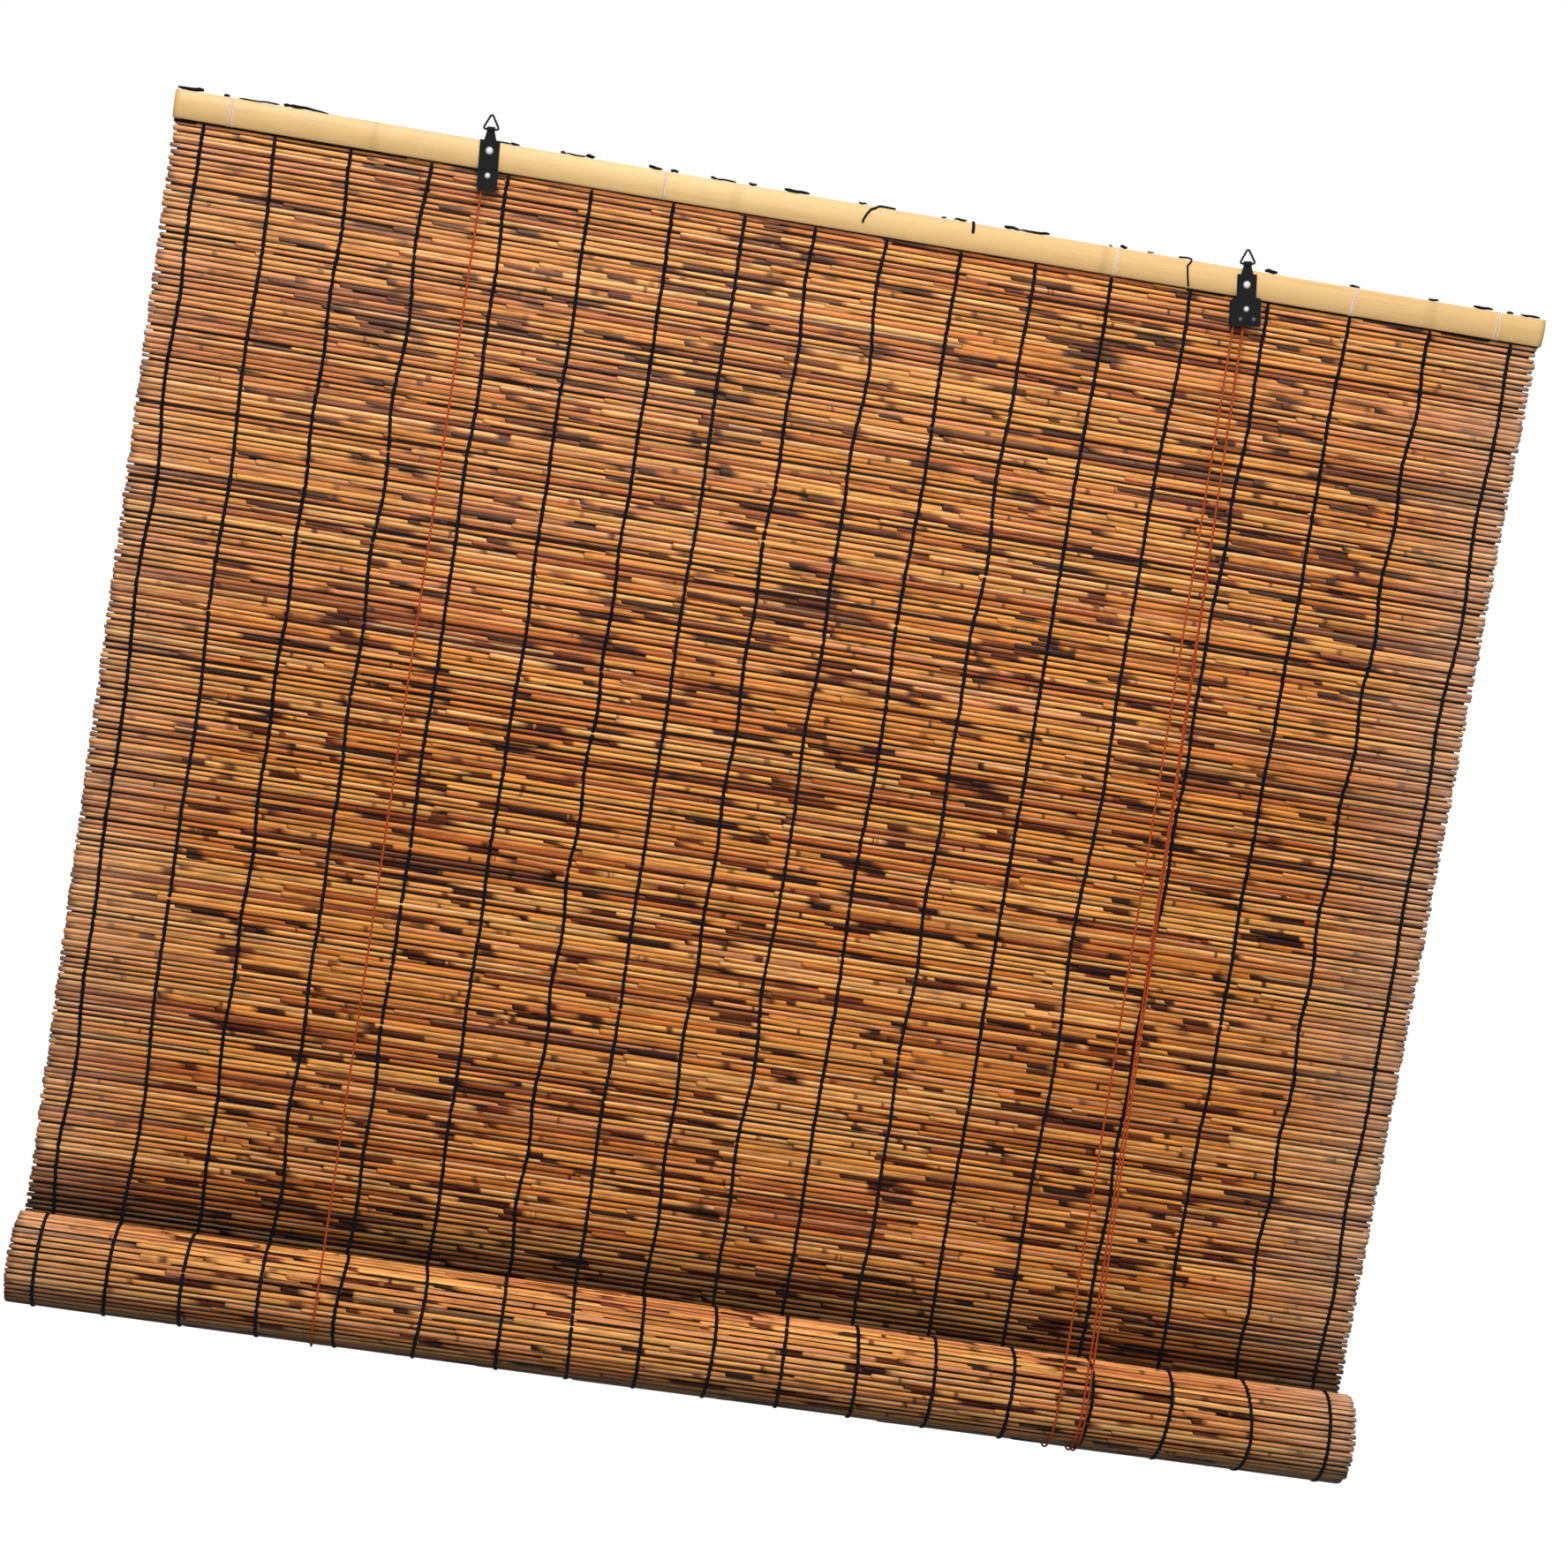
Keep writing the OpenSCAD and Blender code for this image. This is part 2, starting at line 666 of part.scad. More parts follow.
// The lock's housing, folded from sheet, with its lower right corner left open for the cam's lever
module lock_housing() {
  top = skirt_top(right_rivet_z, right_lean, lock_w);
  lever_top = -lock_wheel_down + cam_r - cam_shift;
  color("#1d1d1f") at_right() {
    difference() {
      sheet_y(lock_front, lock_back) polygon([
        [-lock_w / 2, -lock_top - corner_cut],
        [corner_cut - lock_w / 2, -lock_top],
        [lock_w / 2 - corner_cut, -lock_top],
        [lock_w / 2, -lock_top - corner_cut],
        [lock_w / 2, -lock_down],
        [-lock_w / 2, -lock_down]
      ]);
      rod_y(0, -rivet_step, shank_r + seat, lock_front - over, lock_back + over);
      rod_y(-lock_wheel_left, -lock_wheel_down, shank_r + seat, lock_front - over, lock_back + over);
      rod_y(cam_right, -lock_wheel_down, shank_r + seat, lock_front - over, lock_back + over);
    }
    translate([-lock_w / 2, lock_back, -lock_down])
      cube([sheet_t, flange_back - lock_back, lock_down + top]);
    translate([lock_w / 2 - sheet_t, lock_back, lever_top])
      cube([sheet_t, flange_back - lock_back, top - lever_top]);
  }
}

module lock_rivet() {
  color("#e8e8e6") at_right() translate([0, 0, -rivet_step])
    rivet(small_head_d, lock_front - seat, plate_back + seat);
}

// A pin set flush in the housing's front, with a head behind what turns on it
module flush_pin(x, y1) {
  rod_y(x, -lock_wheel_down, shank_r, lock_front, y1 + tail_h);
  rod_y(x, -lock_wheel_down, tail_d / 2, y1, y1 + tail_h);
}

module lock_axle() {
  color("#2a2a2c") at_right() flush_pin(-lock_wheel_left, lock_wheel_y + lock_wheel_w / 2 + seat);
}

module cam_pin() { color("#2a2a2c") at_right() flush_pin(cam_right, cam_y + cam_t / 2 + seat); }

// The cam that pinches the cords against the lock wheel, with teeth on that side and a lever
module lock_cam() {
  color("#5b5b5e") at_right() translate([cam_right, 0, -lock_wheel_down]) difference() {
    sheet_y(cam_y - cam_t / 2, cam_y + cam_t / 2) {
      difference() {
        translate([-cam_shift, 0]) circle(cam_r);
        for (i = [0 : cam_teeth - 1]) {
          a = 180 + tooth_turn * (i - (cam_teeth - 1) / 2);
          translate([-cam_shift, 0]) rotate(a) translate([cam_r, 0]) circle(tooth_deep, $fn = 4);
        }
      }
      rotate(lever_slope) translate([0, -lever_w / 2]) square([lever_len, lever_w]);
    }
    rod_y(0, 0, shank_r + run_fit, cam_y - cam_t, cam_y + cam_t);
  }
}

// A strand from just below its upper end, upright past a wheel, then straight to the slings' circle
module strand(top, foot) {
  tube([top - [0, 0, pass], top - [0, 0, strand_upright], foot + pass * unit(top - foot)]);
}

// A cord under the roll, between two angles of the slings' circle
module sling(x, a0, a1) {
  translate([x, roll_y, roll_z]) rotate([-90, 0, 90]) rotate(a0)
    rotate_extrude(angle = a1 - a0, $fn = 96) translate([sling_r, 0]) circle(cord_r, $fn = 24);
}

// The fixed end of a lift cord, tied round a rivet behind the battens
module lift_loop(x, z) {
  translate([x, loop_y, z]) rotate([90, 0, 0])
    rotate_extrude() translate([loop_r, 0]) circle(cord_r, $fn = 24);
}

left_front_a = front_angle(left_front_top[1], left_front_top[2]);
left_back_a = back_angle(left_back_top[1], left_back_top[2]);
right_front_a = front_angle(right_front_top[1], right_front_top[2]);
right_back_a = back_angle(right_back_top[1], right_back_top[2]);
pull_a_a = front_angle(pull_a_top[1], pull_a_top[2]);
pull_b_a = front_angle(pull_b_top[1], pull_b_top[2]);
pull_a_x = pull_x - pull_gap / 2;
pull_b_x = pull_x + pull_gap / 2;

module left_lift_front() {
  color("#b5502c") strand(left_front_top, on_sling(left_sling_x, left_front_a));
}

module left_lift_sling() { color("#b5502c") sling(left_sling_x, left_back_a, left_front_a); }

module left_lift_back() { color("#b5502c") strand(left_back_top, on_sling(left_sling_x, left_back_a)); }

module left_lift_loop() { color("#b5502c") lift_loop(left_x, left_rivet_z); }

module right_lift_front() {
  color("#b5502c") strand(right_front_top, on_sling(right_sling_x, right_front_a));
}

module right_lift_sling() { color("#b5502c") sling(right_sling_x, right_back_a, right_front_a); }

module right_lift_back() { color("#b5502c") strand(right_back_top, on_sling(right_sling_x, right_back_a)); }

module right_lift_loop() { color("#b5502c") lift_loop(right_x, right_rivet_z); }

module right_lift_turn() {
  color("#b5502c") translate([lock_x, groove_a_y, lock_z]) rotate([90, 0, 0])
    rotate_extrude(angle = 180) translate([lock_r, 0]) circle(cord_r, $fn = 24);
}

module cross_cord() { color("#b5502c") tube(cross_route); }

module pull_strand_a() {
  color("#b5502c") strand(pull_a_top, on_sling(pull_a_x, pull_a_a));
}

module pull_strand_b() {
  color("#b5502c") strand(pull_b_top, on_sling(pull_b_x, pull_b_a));
}

// A tail of the pull cord: round the front of the roll, under it and into the hank
module pull_tail(x, from) {
  turn = [for (i = [0 : tail_steps]) on_sling(x, from + (tail_leave - from) * i / tail_steps)];
  tube(concat(turn, [
    [x, hank_front - tail_bend[1], tail_in_z - tail_bend[0]],
    [x, hank_front - tail_bend[0], tail_in_z],
    [x, hank_front - seat, tail_in_z]
  ]));
}

module pull_tail_a() { color("#b5502c") pull_tail(pull_a_x, pull_a_a); }

module pull_tail_b() { color("#b5502c") pull_tail(pull_b_x, pull_b_a); }

module pull_hank() {
  color("#b5502c") translate([pull_x, 0, hank_z]) sheet_y(hank_front, hank_front + hank_t) {
    square([hank_w, hank_run], center = true);
    for (end = [-1, 1]) translate([0, end * hank_run / 2]) circle(hank_w / 2);
  }
}

front_batten();
back_batten();
batten_ties();
reed_mat();
front_warps();
back_warps();
reed_roll();
roll_warps();
bottom_rod();
left_hanger();
left_ring();
left_rivet();
left_washer();
pulley_axle();
pulley_wheel();
right_hanger();
right_ring();
right_rivet();
right_washer();
lock_rivet();
lock_housing();
lock_axle();
lock_wheel();
cam_pin();
lock_cam();
left_lift_front();
left_lift_sling();
left_lift_back();
left_lift_loop();
right_lift_front();
right_lift_sling();
right_lift_back();
right_lift_loop();
right_lift_turn();
cross_cord();
pull_strand_a();
pull_strand_b();
pull_tail_a();
pull_tail_b();
pull_hank();
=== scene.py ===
import math
import random

import bpy
import numpy as np
from mathutils import Matrix, Vector


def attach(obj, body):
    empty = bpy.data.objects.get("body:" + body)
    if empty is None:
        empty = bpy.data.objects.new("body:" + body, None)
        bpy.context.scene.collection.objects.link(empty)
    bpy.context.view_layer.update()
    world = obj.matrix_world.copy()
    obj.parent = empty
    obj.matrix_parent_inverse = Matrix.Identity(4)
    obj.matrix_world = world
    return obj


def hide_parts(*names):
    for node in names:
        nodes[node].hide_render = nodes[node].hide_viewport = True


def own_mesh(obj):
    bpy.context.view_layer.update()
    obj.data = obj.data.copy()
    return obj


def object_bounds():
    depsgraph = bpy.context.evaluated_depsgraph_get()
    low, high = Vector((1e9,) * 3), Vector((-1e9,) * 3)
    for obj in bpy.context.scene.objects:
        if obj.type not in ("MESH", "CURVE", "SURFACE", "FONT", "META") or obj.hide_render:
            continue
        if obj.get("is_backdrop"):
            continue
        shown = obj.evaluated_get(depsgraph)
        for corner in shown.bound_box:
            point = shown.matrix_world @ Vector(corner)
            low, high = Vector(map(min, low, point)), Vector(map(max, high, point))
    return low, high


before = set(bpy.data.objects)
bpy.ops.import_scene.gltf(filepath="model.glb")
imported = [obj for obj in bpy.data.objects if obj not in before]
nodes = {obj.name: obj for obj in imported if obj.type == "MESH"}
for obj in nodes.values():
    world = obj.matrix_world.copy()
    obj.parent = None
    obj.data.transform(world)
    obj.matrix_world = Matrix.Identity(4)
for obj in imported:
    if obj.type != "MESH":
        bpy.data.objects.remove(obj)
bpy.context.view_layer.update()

# Sizes of the part in millimetres, as in its source
MM = 0.001
MAT_W = 1200.0
REED_R = 2.2
PITCH = 5.0
MAT_FOOT = -1014.0875
MAT_ROWS = 202
TURN_STEP = 1.225
ROLL_R = 39.7375
ROLL_Y = -40.35
ROLL_Z = -1015.0
QUARTERS = 26
WARP_COUNT = 18
WARP_TOP = -25.6
WARP_FOOT = ROLL_Z + ROLL_R / 2
BATTEN_H = 24.0
BATTEN_IN = 2.25
BATTEN_OUT = 9.25
CROWN_R = 25.5
CORD_R = 1.0
SLING_R = 44.7
TRAVEL = 900.0
TIE_SHARES = (-0.92, -0.3, 0.36, 0.715, 0.93)


def srgb(r, g, b):
    """A colour written as it looks, as the linear values that Blender uses."""
    def channel(v):
        v /= 255
        return v / 12.92 if v <= 0.04045 else ((v + 0.055) / 1.055) ** 2.4
    return np.array([channel(r), channel(g), channel(b)])


# Camera, at the photograph's angle
CAMERA_RIGHT = (0.98508, -0.06240, 0.16043)
CAMERA_UP = (-0.15124, 0.13137, 0.97973)
CAMERA_BACK = (-0.08221, -0.98937, 0.11997)
CAMERA_AT = (-0.222, -2.729, -0.177)
camera = bpy.data.objects.new("camera", bpy.data.cameras.new("camera"))
camera.data.lens = 71.72
camera.data.sensor_width = 36
camera.matrix_world = Matrix((
    (CAMERA_RIGHT[0], CAMERA_UP[0], CAMERA_BACK[0], CAMERA_AT[0]),
    (CAMERA_RIGHT[1], CAMERA_UP[1], CAMERA_BACK[1], CAMERA_AT[1]),
    (CAMERA_RIGHT[2], CAMERA_UP[2], CAMERA_BACK[2], CAMERA_AT[2]),
    (0, 0, 0, 1),
))
bpy.context.scene.collection.objects.link(camera)
bpy.context.scene.camera = camera
bpy.context.scene.view_settings.view_transform = "Standard"


TINT = "tint"


def clamp(value):
    return min(1.0, max(0.0, value))


def unit(v):
    return v / np.linalg.norm(v)


class Skin:
    """Tubes of rings, gathered into one mesh with a colour at each point."""

    def __init__(self):
        self.points, self.faces, self.tints, self.count = [], [], [], 0

    def tube(self, rings, tints, loop=False):
        rings = np.asarray(rings, float)
        n, sides = rings.shape[:2]
        index = self.count + np.arange(n * sides).reshape(n, sides)
        a, b = (index, np.roll(index, -1, 0)) if loop else (index[:-1], index[1:])
        quads = np.stack([a, np.roll(a, -1, 1), np.roll(b, -1, 1), b], -1)
        self.faces.extend(quads.reshape(-1, 4).tolist())
        if not loop:
            self.faces.append(index[0][::-1].tolist())
            self.faces.append(index[-1].tolist())
        self.points.append(rings.reshape(-1, 3))
        self.tints.append(np.broadcast_to(tints, (n, sides, 3)).reshape(-1, 3))
        self.count += n * sides

    def make(self, name, material):
        mesh = bpy.data.meshes.new(name)
        mesh.from_pydata((np.concatenate(self.points) * MM).tolist(), [], self.faces)
        tints = np.ones((self.count, 4), np.float32)
        tints[:, :3] = np.concatenate(self.tints)
        attribute = mesh.color_attributes.new(TINT, "FLOAT_COLOR", "POINT")
        attribute.data.foreach_set("color", tints.ravel())
        mesh.shade_smooth()
        mesh.materials.append(material)
        piece = bpy.data.objects.new(name, mesh)
        bpy.context.scene.collection.objects.link(piece)
        return piece


# Materials

def new_material(name):
    material = bpy.data.materials.new(name)
    material.use_nodes = True
    tree = material.node_tree
    return material, tree, tree.nodes["Principled BSDF"]


def add(tree, kind, inputs=None, **values):
    node = tree.nodes.new(kind)
    for key, value in values.items():
        setattr(node, key, value)
    for key, value in (inputs or {}).items():
        if isinstance(value, bpy.types.NodeSocket):
            tree.links.new(value, node.inputs[key])
        else:
            node.inputs[key].default_value = value
    return node


def noise(tree, stretch, scale, detail, rough):
    place = add(tree, "ShaderNodeTexCoord").outputs["Object"]
    spread = add(tree, "ShaderNodeMapping", {"Vector": place, "Scale": stretch}).outputs["Vector"]
    grain = {"Scale": scale, "Detail": detail, "Roughness": rough}
    return add(tree, "ShaderNodeTexNoise", {"Vector": spread, **grain}).outputs["Fac"]


def ramp(tree, value, low, high, out_low, out_high):
    span = {"From Min": low, "From Max": high, "To Min": out_low, "To Max": out_high}
    return add(tree, "ShaderNodeMapRange", {"Value": value, **span}).outputs["Result"]


def tinted(tree, factor):
    """The piece's own point colours, made lighter or darker by a factor."""
    colour = add(tree, "ShaderNodeAttribute", attribute_name=TINT).outputs["Color"]
    mix = add(tree, "ShaderNodeVectorMath", {0: colour, 1: factor}, operation="MULTIPLY")
    return mix.outputs["Vector"]


def bump(tree, height, distance, strength=0.6):
    return add(tree, "ShaderNodeBump",
               {"Height": height, "Distance": distance, "Strength": strength}).outputs["Normal"]


# How the noises are stretched along x, y and z
FIBRES, BLOTCHES, FUZZ, SPECKS = (6, 420, 420), (34, 210, 210), (900, 900, 900), (1, 1, 1)


def plant_material(name, fine, streak, gloss, relief, specular):
    """Reed or bamboo: long fibres, blotches and a soft gloss."""
    material, tree, shader = new_material(name)
    fibres = noise(tree, FIBRES, scale=1.0, detail=5.0, rough=0.65)
    blotches = noise(tree, BLOTCHES, scale=1.0, detail=3.0, rough=0.6)
    light = ramp(tree, fibres, 0.3, 0.72, 1 - fine, 1 + fine)
    dark = ramp(tree, blotches, 0.36, 0.52, 1 - streak, 1.0)
    both = add(tree, "ShaderNodeMath", {0: light, 1: dark}, operation="MULTIPLY").outputs["Value"]
    tree.links.new(tinted(tree, both), shader.inputs["Base Color"])
    rough = ramp(tree, fibres, 0.3, 0.7, gloss - 0.08, gloss + 0.12)
    tree.links.new(rough, shader.inputs["Roughness"])
    tree.links.new(bump(tree, fibres, relief), shader.inputs["Normal"])
    shader.inputs["Specular IOR Level"].default_value = specular
    return material


def thread_material(name, rough):
    material, tree, shader = new_material(name)
    fuzz = noise(tree, FUZZ, scale=1.0, detail=3.0, rough=0.7)
    colour = tinted(tree, ramp(tree, fuzz, 0.25, 0.75, 0.6, 1.35))
    tree.links.new(colour, shader.inputs["Base Color"])
    tree.links.new(bump(tree, fuzz, 0.0003), shader.inputs["Normal"])
    shader.inputs["Roughness"].default_value = rough
    shader.inputs["Specular IOR Level"].default_value = 0.1
    return material


def metal_material(name, low, high, metallic, rough, grain, specular=0.5, rim=1.0):
    """Paint, plastic or metal with fine specks; rim is the share of colour kept on slopes, a
    painted shade where the surface turns away from the front and back, which leaves a painted
    highlight where it faces them.
    """
    material, tree, shader = new_material(name)
    specks = noise(tree, SPECKS, scale=grain, detail=5.0, rough=0.7)
    colours = {"A": (*low, 1), "B": (*high, 1)}
    mix = add(tree, "ShaderNodeMix", {"Factor": specks, **colours}, data_type="RGBA")
    facing = add(tree, "ShaderNodeTexCoord").outputs["Normal"]
    facing = add(tree, "ShaderNodeSeparateXYZ", {0: facing}).outputs["Y"]
    facing = add(tree, "ShaderNodeMath", {0: facing}, operation="ABSOLUTE").outputs["Value"]
    kept = ramp(tree, facing, 0.7, 0.97, rim, 1.0)
    specked_and_rim_shaded = add(tree, "ShaderNodeVectorMath", {0: mix.outputs[2], 1: kept}, operation="MULTIPLY")
    tree.links.new(specked_and_rim_shaded.outputs["Vector"], shader.inputs["Base Color"])
    worn_rough = ramp(tree, specks, 0.3, 0.7, rough - 0.1, rough + 0.15)
    tree.links.new(worn_rough, shader.inputs["Roughness"])
    tree.links.new(bump(tree, specks, 0.00008, 0.5), shader.inputs["Normal"])
    shader.inputs["Metallic"].default_value = metallic
    shader.inputs["Specular IOR Level"].default_value = specular
    return material


REED = plant_material("reed", fine=0.34, streak=0.34, gloss=0.46, relief=0.00025, specular=0.08)
BAMBOO = plant_material("bamboo", fine=0.07, streak=0.05, gloss=0.38, relief=0.00008, specular=0.3)
THREAD = thread_material("thread", 0.9)
CORD = thread_material("cord", 0.8)
TIE = thread_material("tie", 0.8)
PAINT = metal_material(
    "black_paint", (0.006, 0.006, 0.007), (0.018, 0.018, 0.019), metallic=0.0, rough=0.6, grain=700,
    specular=0.05)
# Pale rivets with rim=0.1: painted shade on their sloping edges round a painted highlight in the
# middle
BRIGHT = metal_material(
    "bright_rivet", (0.66, 0.66, 0.65), (0.84, 0.84, 0.83), metallic=0.0, rough=0.5, grain=900,
    specular=0.1, rim=0.1)
STEEL = metal_material(
    "dark_steel", (0.04, 0.04, 0.042), (0.11, 0.11, 0.11), metallic=0.8, rough=0.4, grain=800)
WHEEL = metal_material(
    "wheel", (0.5, 0.48, 0.42), (0.62, 0.6, 0.54), metallic=0.0, rough=0.5, grain=600)


# Reeds: each row of the mat is a few reeds, end over end, with knots, dark tips and a slight taper

rng = random.Random(41)
TONES = (
    (0.32, srgb(234, 147, 66)),
    (0.22, srgb(246, 168, 86)),
    (0.20, srgb(216, 124, 54)),
    (0.12, srgb(188, 98, 44)),
    (0.05, srgb(148, 71, 35)),
    (0.06, srgb(232, 145, 90)),
    (0.03, srgb(104, 50, 28)),
)
DARK_TIPS = (srgb(88, 40, 20), srgb(70, 32, 18), srgb(110, 52, 26), srgb(54, 27, 18))
SIDE_PALE = srgb(214, 166, 134)
# Colour of the painted highlight on the reeds' upper flanks, also blended into the roll's reeds as
# painted light
PAINTED_LIGHT_COLOUR = srgb(255, 204, 142)
REED_DEEP = 2.0
REED_TALL = 2.75
ANGLES = np.radians([0, 36, 66, 114, 144, 180, 220, 250, 290, 320])
REED_SIDES = len(ANGLES)
KNOT = 1.09
STOUT_LIFT, STOUT_GIRTH = 0.35, 0.26
BACK_SHADE = 0.85

# A reed's features: ranges and lengths in millimetres, and the chance of each
GIRTH = (0.88, 1.08)
TAPER = 0.16
BOW = 0.5
END_SIZE, END_DIM = 0.6, 0.45
NECK, NECK_SIZE, NECK_DIM = 1.2, 0.95, 0.8
KNOT_CLEAR, KNOT_FIRST, KNOT_STEP = 20, (20, 280), (80, 240)
SMALL_KNOT, SMALL_KNOT_CHANCE, LARGE_KNOT = (1.8, 5), 0.7, (5, 14)
KNOT_CORE = 0.35
TIP, TIP_CHANCE, TIP_MOST = (8, 58), 0.75, 0.5
BUTT, BUTT_CHANCE, BUTT_MOST = (5, 26), 0.4, 0.3
TIP_SOFT = (1, 9)
SIDE_ZONE, SIDE_TIP = 5, 0.15
MIDDLES = (0.3, 0.7)
DARKNESS, KNOT_FADE, SECTION = (0.8, 1.4), (0.0, 0.5), (0.78, 1.12)
# How strongly each reed's upper flanks take the painted highlight, and the chance of a strong one
FULL_HIGHLIGHT, FULL_HIGHLIGHT_CHANCE, FAINT_HIGHLIGHT = (0.5, 0.9), 0.3, (0.0, 0.25)
# Painted shade in the crevices where rows meet: the share of colour kept, tight or open
TIGHT, TIGHT_CHANCE, OPEN = (0.03, 0.12), 0.6, (0.12, 0.45)
END_REACH = 2.2
FRONT_FROM = -0.1
# Painted shade and light round each reed: lower flanks darker, upper flanks lighter, and lower
# flanks lighter where the reed faces up
LOWER_FLANK_SHADE, FLANK_LIGHT_FACING_UP, EDGE, UPPER_FLANK_HIGHLIGHT = 0.54, 0.75, 0.88, 1.1

# Where the mat is paler and greyer, and by how much: painted light at its sides, and paler towards
# its upper left
SIDE_FROM, SIDE_OVER = 490, 100
SIDE_LEFT, SIDE_RIGHT = 0.48, 0.7
UPPER, UPPER_FROM, UPPER_OVER = 0.25, -520, 400
UPPER_RIGHT, UPPER_X, UPPER_X_OVER = 0.45, 150, 500


def pick_tone():
    return rng.choices([t for _, t in TONES], [w for w, _ in TONES])[0]


def paler_at_sides_and_upper_left(x, height, tone):
    """The reeds are paler and greyer at the sides of the mat, as painted light, and towards its
    upper left.
    """
    side = clamp((abs(x) - SIDE_FROM) / SIDE_OVER) * (SIDE_RIGHT if x > 0 else SIDE_LEFT)
    to_left = UPPER_RIGHT + (1 - UPPER_RIGHT) * clamp((UPPER_X - x) / UPPER_X_OVER)
    share = max(side, UPPER * clamp((height - UPPER_FROM) / UPPER_OVER) * to_left)
    return tone * (1 - share) + SIDE_PALE * share


def either(chance, first, second):
    """A draw from the first range, with that chance, or else from the second."""
    return rng.uniform(*first) if rng.random() < chance else rng.uniform(*second)


def crevice_shade():
    """How much of its colour a reed keeps where it meets the next one: painted shade in the
    crevice.
    """
    return either(TIGHT_CHANCE, TIGHT, OPEN)


def reed(skin, x0, x1, centre, out, shade, slides=(0, 0), lifts=(0, 0), plump=1.0, painted_light=0.0,
         stout=1.0):
    """One reed from x0 to x1. slides move its ends down the row, lifts move them out of the mat."""
    along = np.array([-out[1], out[0]])
    girth = stout * rng.uniform(*GIRTH)
    tip_at_left = rng.random() < 0.5
    # The tone is blended towards the highlight colour by the given share, as painted light on the
    # roll
    base = pick_tone() * (1 - painted_light) + PAINTED_LIGHT_COLOUR * painted_light
    length = x1 - x0
    # Places along the reed, each with its size and how dim it is
    stations = [
        (x0, END_SIZE, END_DIM), (x0 + NECK, NECK_SIZE, NECK_DIM),
        (x1 - NECK, NECK_SIZE, NECK_DIM), (x1, END_SIZE, END_DIM),
    ]
    x = x0 + rng.uniform(*KNOT_FIRST)
    while x < x1 - KNOT_CLEAR:
        spot = either(SMALL_KNOT_CHANCE, SMALL_KNOT, LARGE_KNOT)
        core = KNOT_CORE * spot
        stations += [
            (x - spot, 1.0, 0.95), (x - core, KNOT, 1.0),
            (x + core, KNOT, 1.0), (x + spot, 0.99, 0.9),
        ]
        x += rng.uniform(*KNOT_STEP)
    tip_dark = rng.uniform(*TIP) if rng.random() < TIP_CHANCE else 0
    butt_dark = rng.uniform(*BUTT) if rng.random() < BUTT_CHANCE else 0
    tip_dark, butt_dark = min(tip_dark, TIP_MOST * length), min(butt_dark, BUTT_MOST * length)
    dark_left, dark_right = (tip_dark, butt_dark) if tip_at_left else (butt_dark, tip_dark)
    dark_left *= SIDE_TIP if x0 < SIDE_ZONE - MAT_W / 2 else 1.0
    dark_right *= SIDE_TIP if x1 > MAT_W / 2 - SIDE_ZONE else 1.0
    for edge in (x0 + dark_left, x1 - dark_right):
        soft = rng.uniform(*TIP_SOFT)
        stations += [(edge - soft, 1.0, 1.0), (edge + soft, 1.0, 1.0)]
    stations += [(x0 + length * s, 1.0, 1.0) for s in MIDDLES]
    stations = sorted(s for s in stations if x0 <= s[0] <= x1)
    dark = rng.choice(DARK_TIPS) * rng.uniform(*DARKNESS)
    bow = rng.uniform(-BOW, BOW)
    low, up = crevice_shade(), crevice_shade()
    highlight = either(FULL_HIGHLIGHT_CHANCE, FULL_HIGHLIGHT, FAINT_HIGHLIGHT)
    # Shares of colour round the reed, in the order of ANGLES: painted shade in the crevices and on
    # the lower flanks, less where the reed faces up, and painted light on the upper flanks
    flank = LOWER_FLANK_SHADE + FLANK_LIGHT_FACING_UP * max(0.0, out[1])
    around = np.array([EDGE, flank, low, low, LOWER_FLANK_SHADE, EDGE, UPPER_FLANK_HIGHLIGHT, up, up, UPPER_FLANK_HIGHLIGHT])[:, None]
    highlight_share = np.array([0.0, 0, 0, 0, 0, 0, highlight, 0, 0, highlight])[:, None]
    # The row's painted shade falls on the reed's front half; the back half keeps at least
    # BACK_SHADE of its colour
    shades = np.where(np.cos(ANGLES) > FRONT_FROM, shade, max(shade, BACK_SHADE))[:, None]
    deep = plump * REED_DEEP / girth
    offsets = np.cos(ANGLES)[:, None] * out * deep + np.sin(ANGLES)[:, None] * along * REED_TALL
    rings, tints = [], []
    section = base
    for x, size, dim in stations:
        share = (x - x0) / length
        taper = 1 - TAPER * ((1 - share) if tip_at_left else share)
        ease0 = max(0, 1 - share * END_REACH) ** 1.5
        ease1 = max(0, 1 - (1 - share) * END_REACH) ** 1.5
        slide = slides[0] * ease0 + slides[1] * ease1 + bow * math.sin(math.pi * share)
        lift = lifts[0] * ease0 + lifts[1] * ease1
        in_tip = size == KNOT or x - x0 < dark_left or x1 - x < dark_right
        tone = dark if in_tip else section
        if size == KNOT:
            fade = rng.uniform(*KNOT_FADE)
            tone = dark * (1 - fade) + section * fade
            section = base * rng.uniform(*SECTION)
        colour = paler_at_sides_and_upper_left(x, centre[1], tone) * around
        # Painted highlight on the upper flanks, outside the dark tips
        if not in_tip:
            colour = colour * (1 - highlight_share) + PAINTED_LIGHT_COLOUR * highlight_share
        ring = np.empty((REED_SIDES, 3))
        ring[:, 0] = x
        ring[:, 1:] = centre + out * lift + along * slide + offsets * girth * taper * size
        rings.append(ring)
        tints.append(colour * dim * shades)
    skin.tube(rings, np.asarray(tints))


ROW_END = (0, 2)
REED_SHORTEST, REED_LONGEST = 90, 340
OVERLAP = (8, 40)
SIDE_SLIDE, SIDE_LIFT = (-0.6, 0.6), (-0.2, 0.2)
LAP_SLIDE, LAP_LIFT = (0.5, 1.3), 0.5


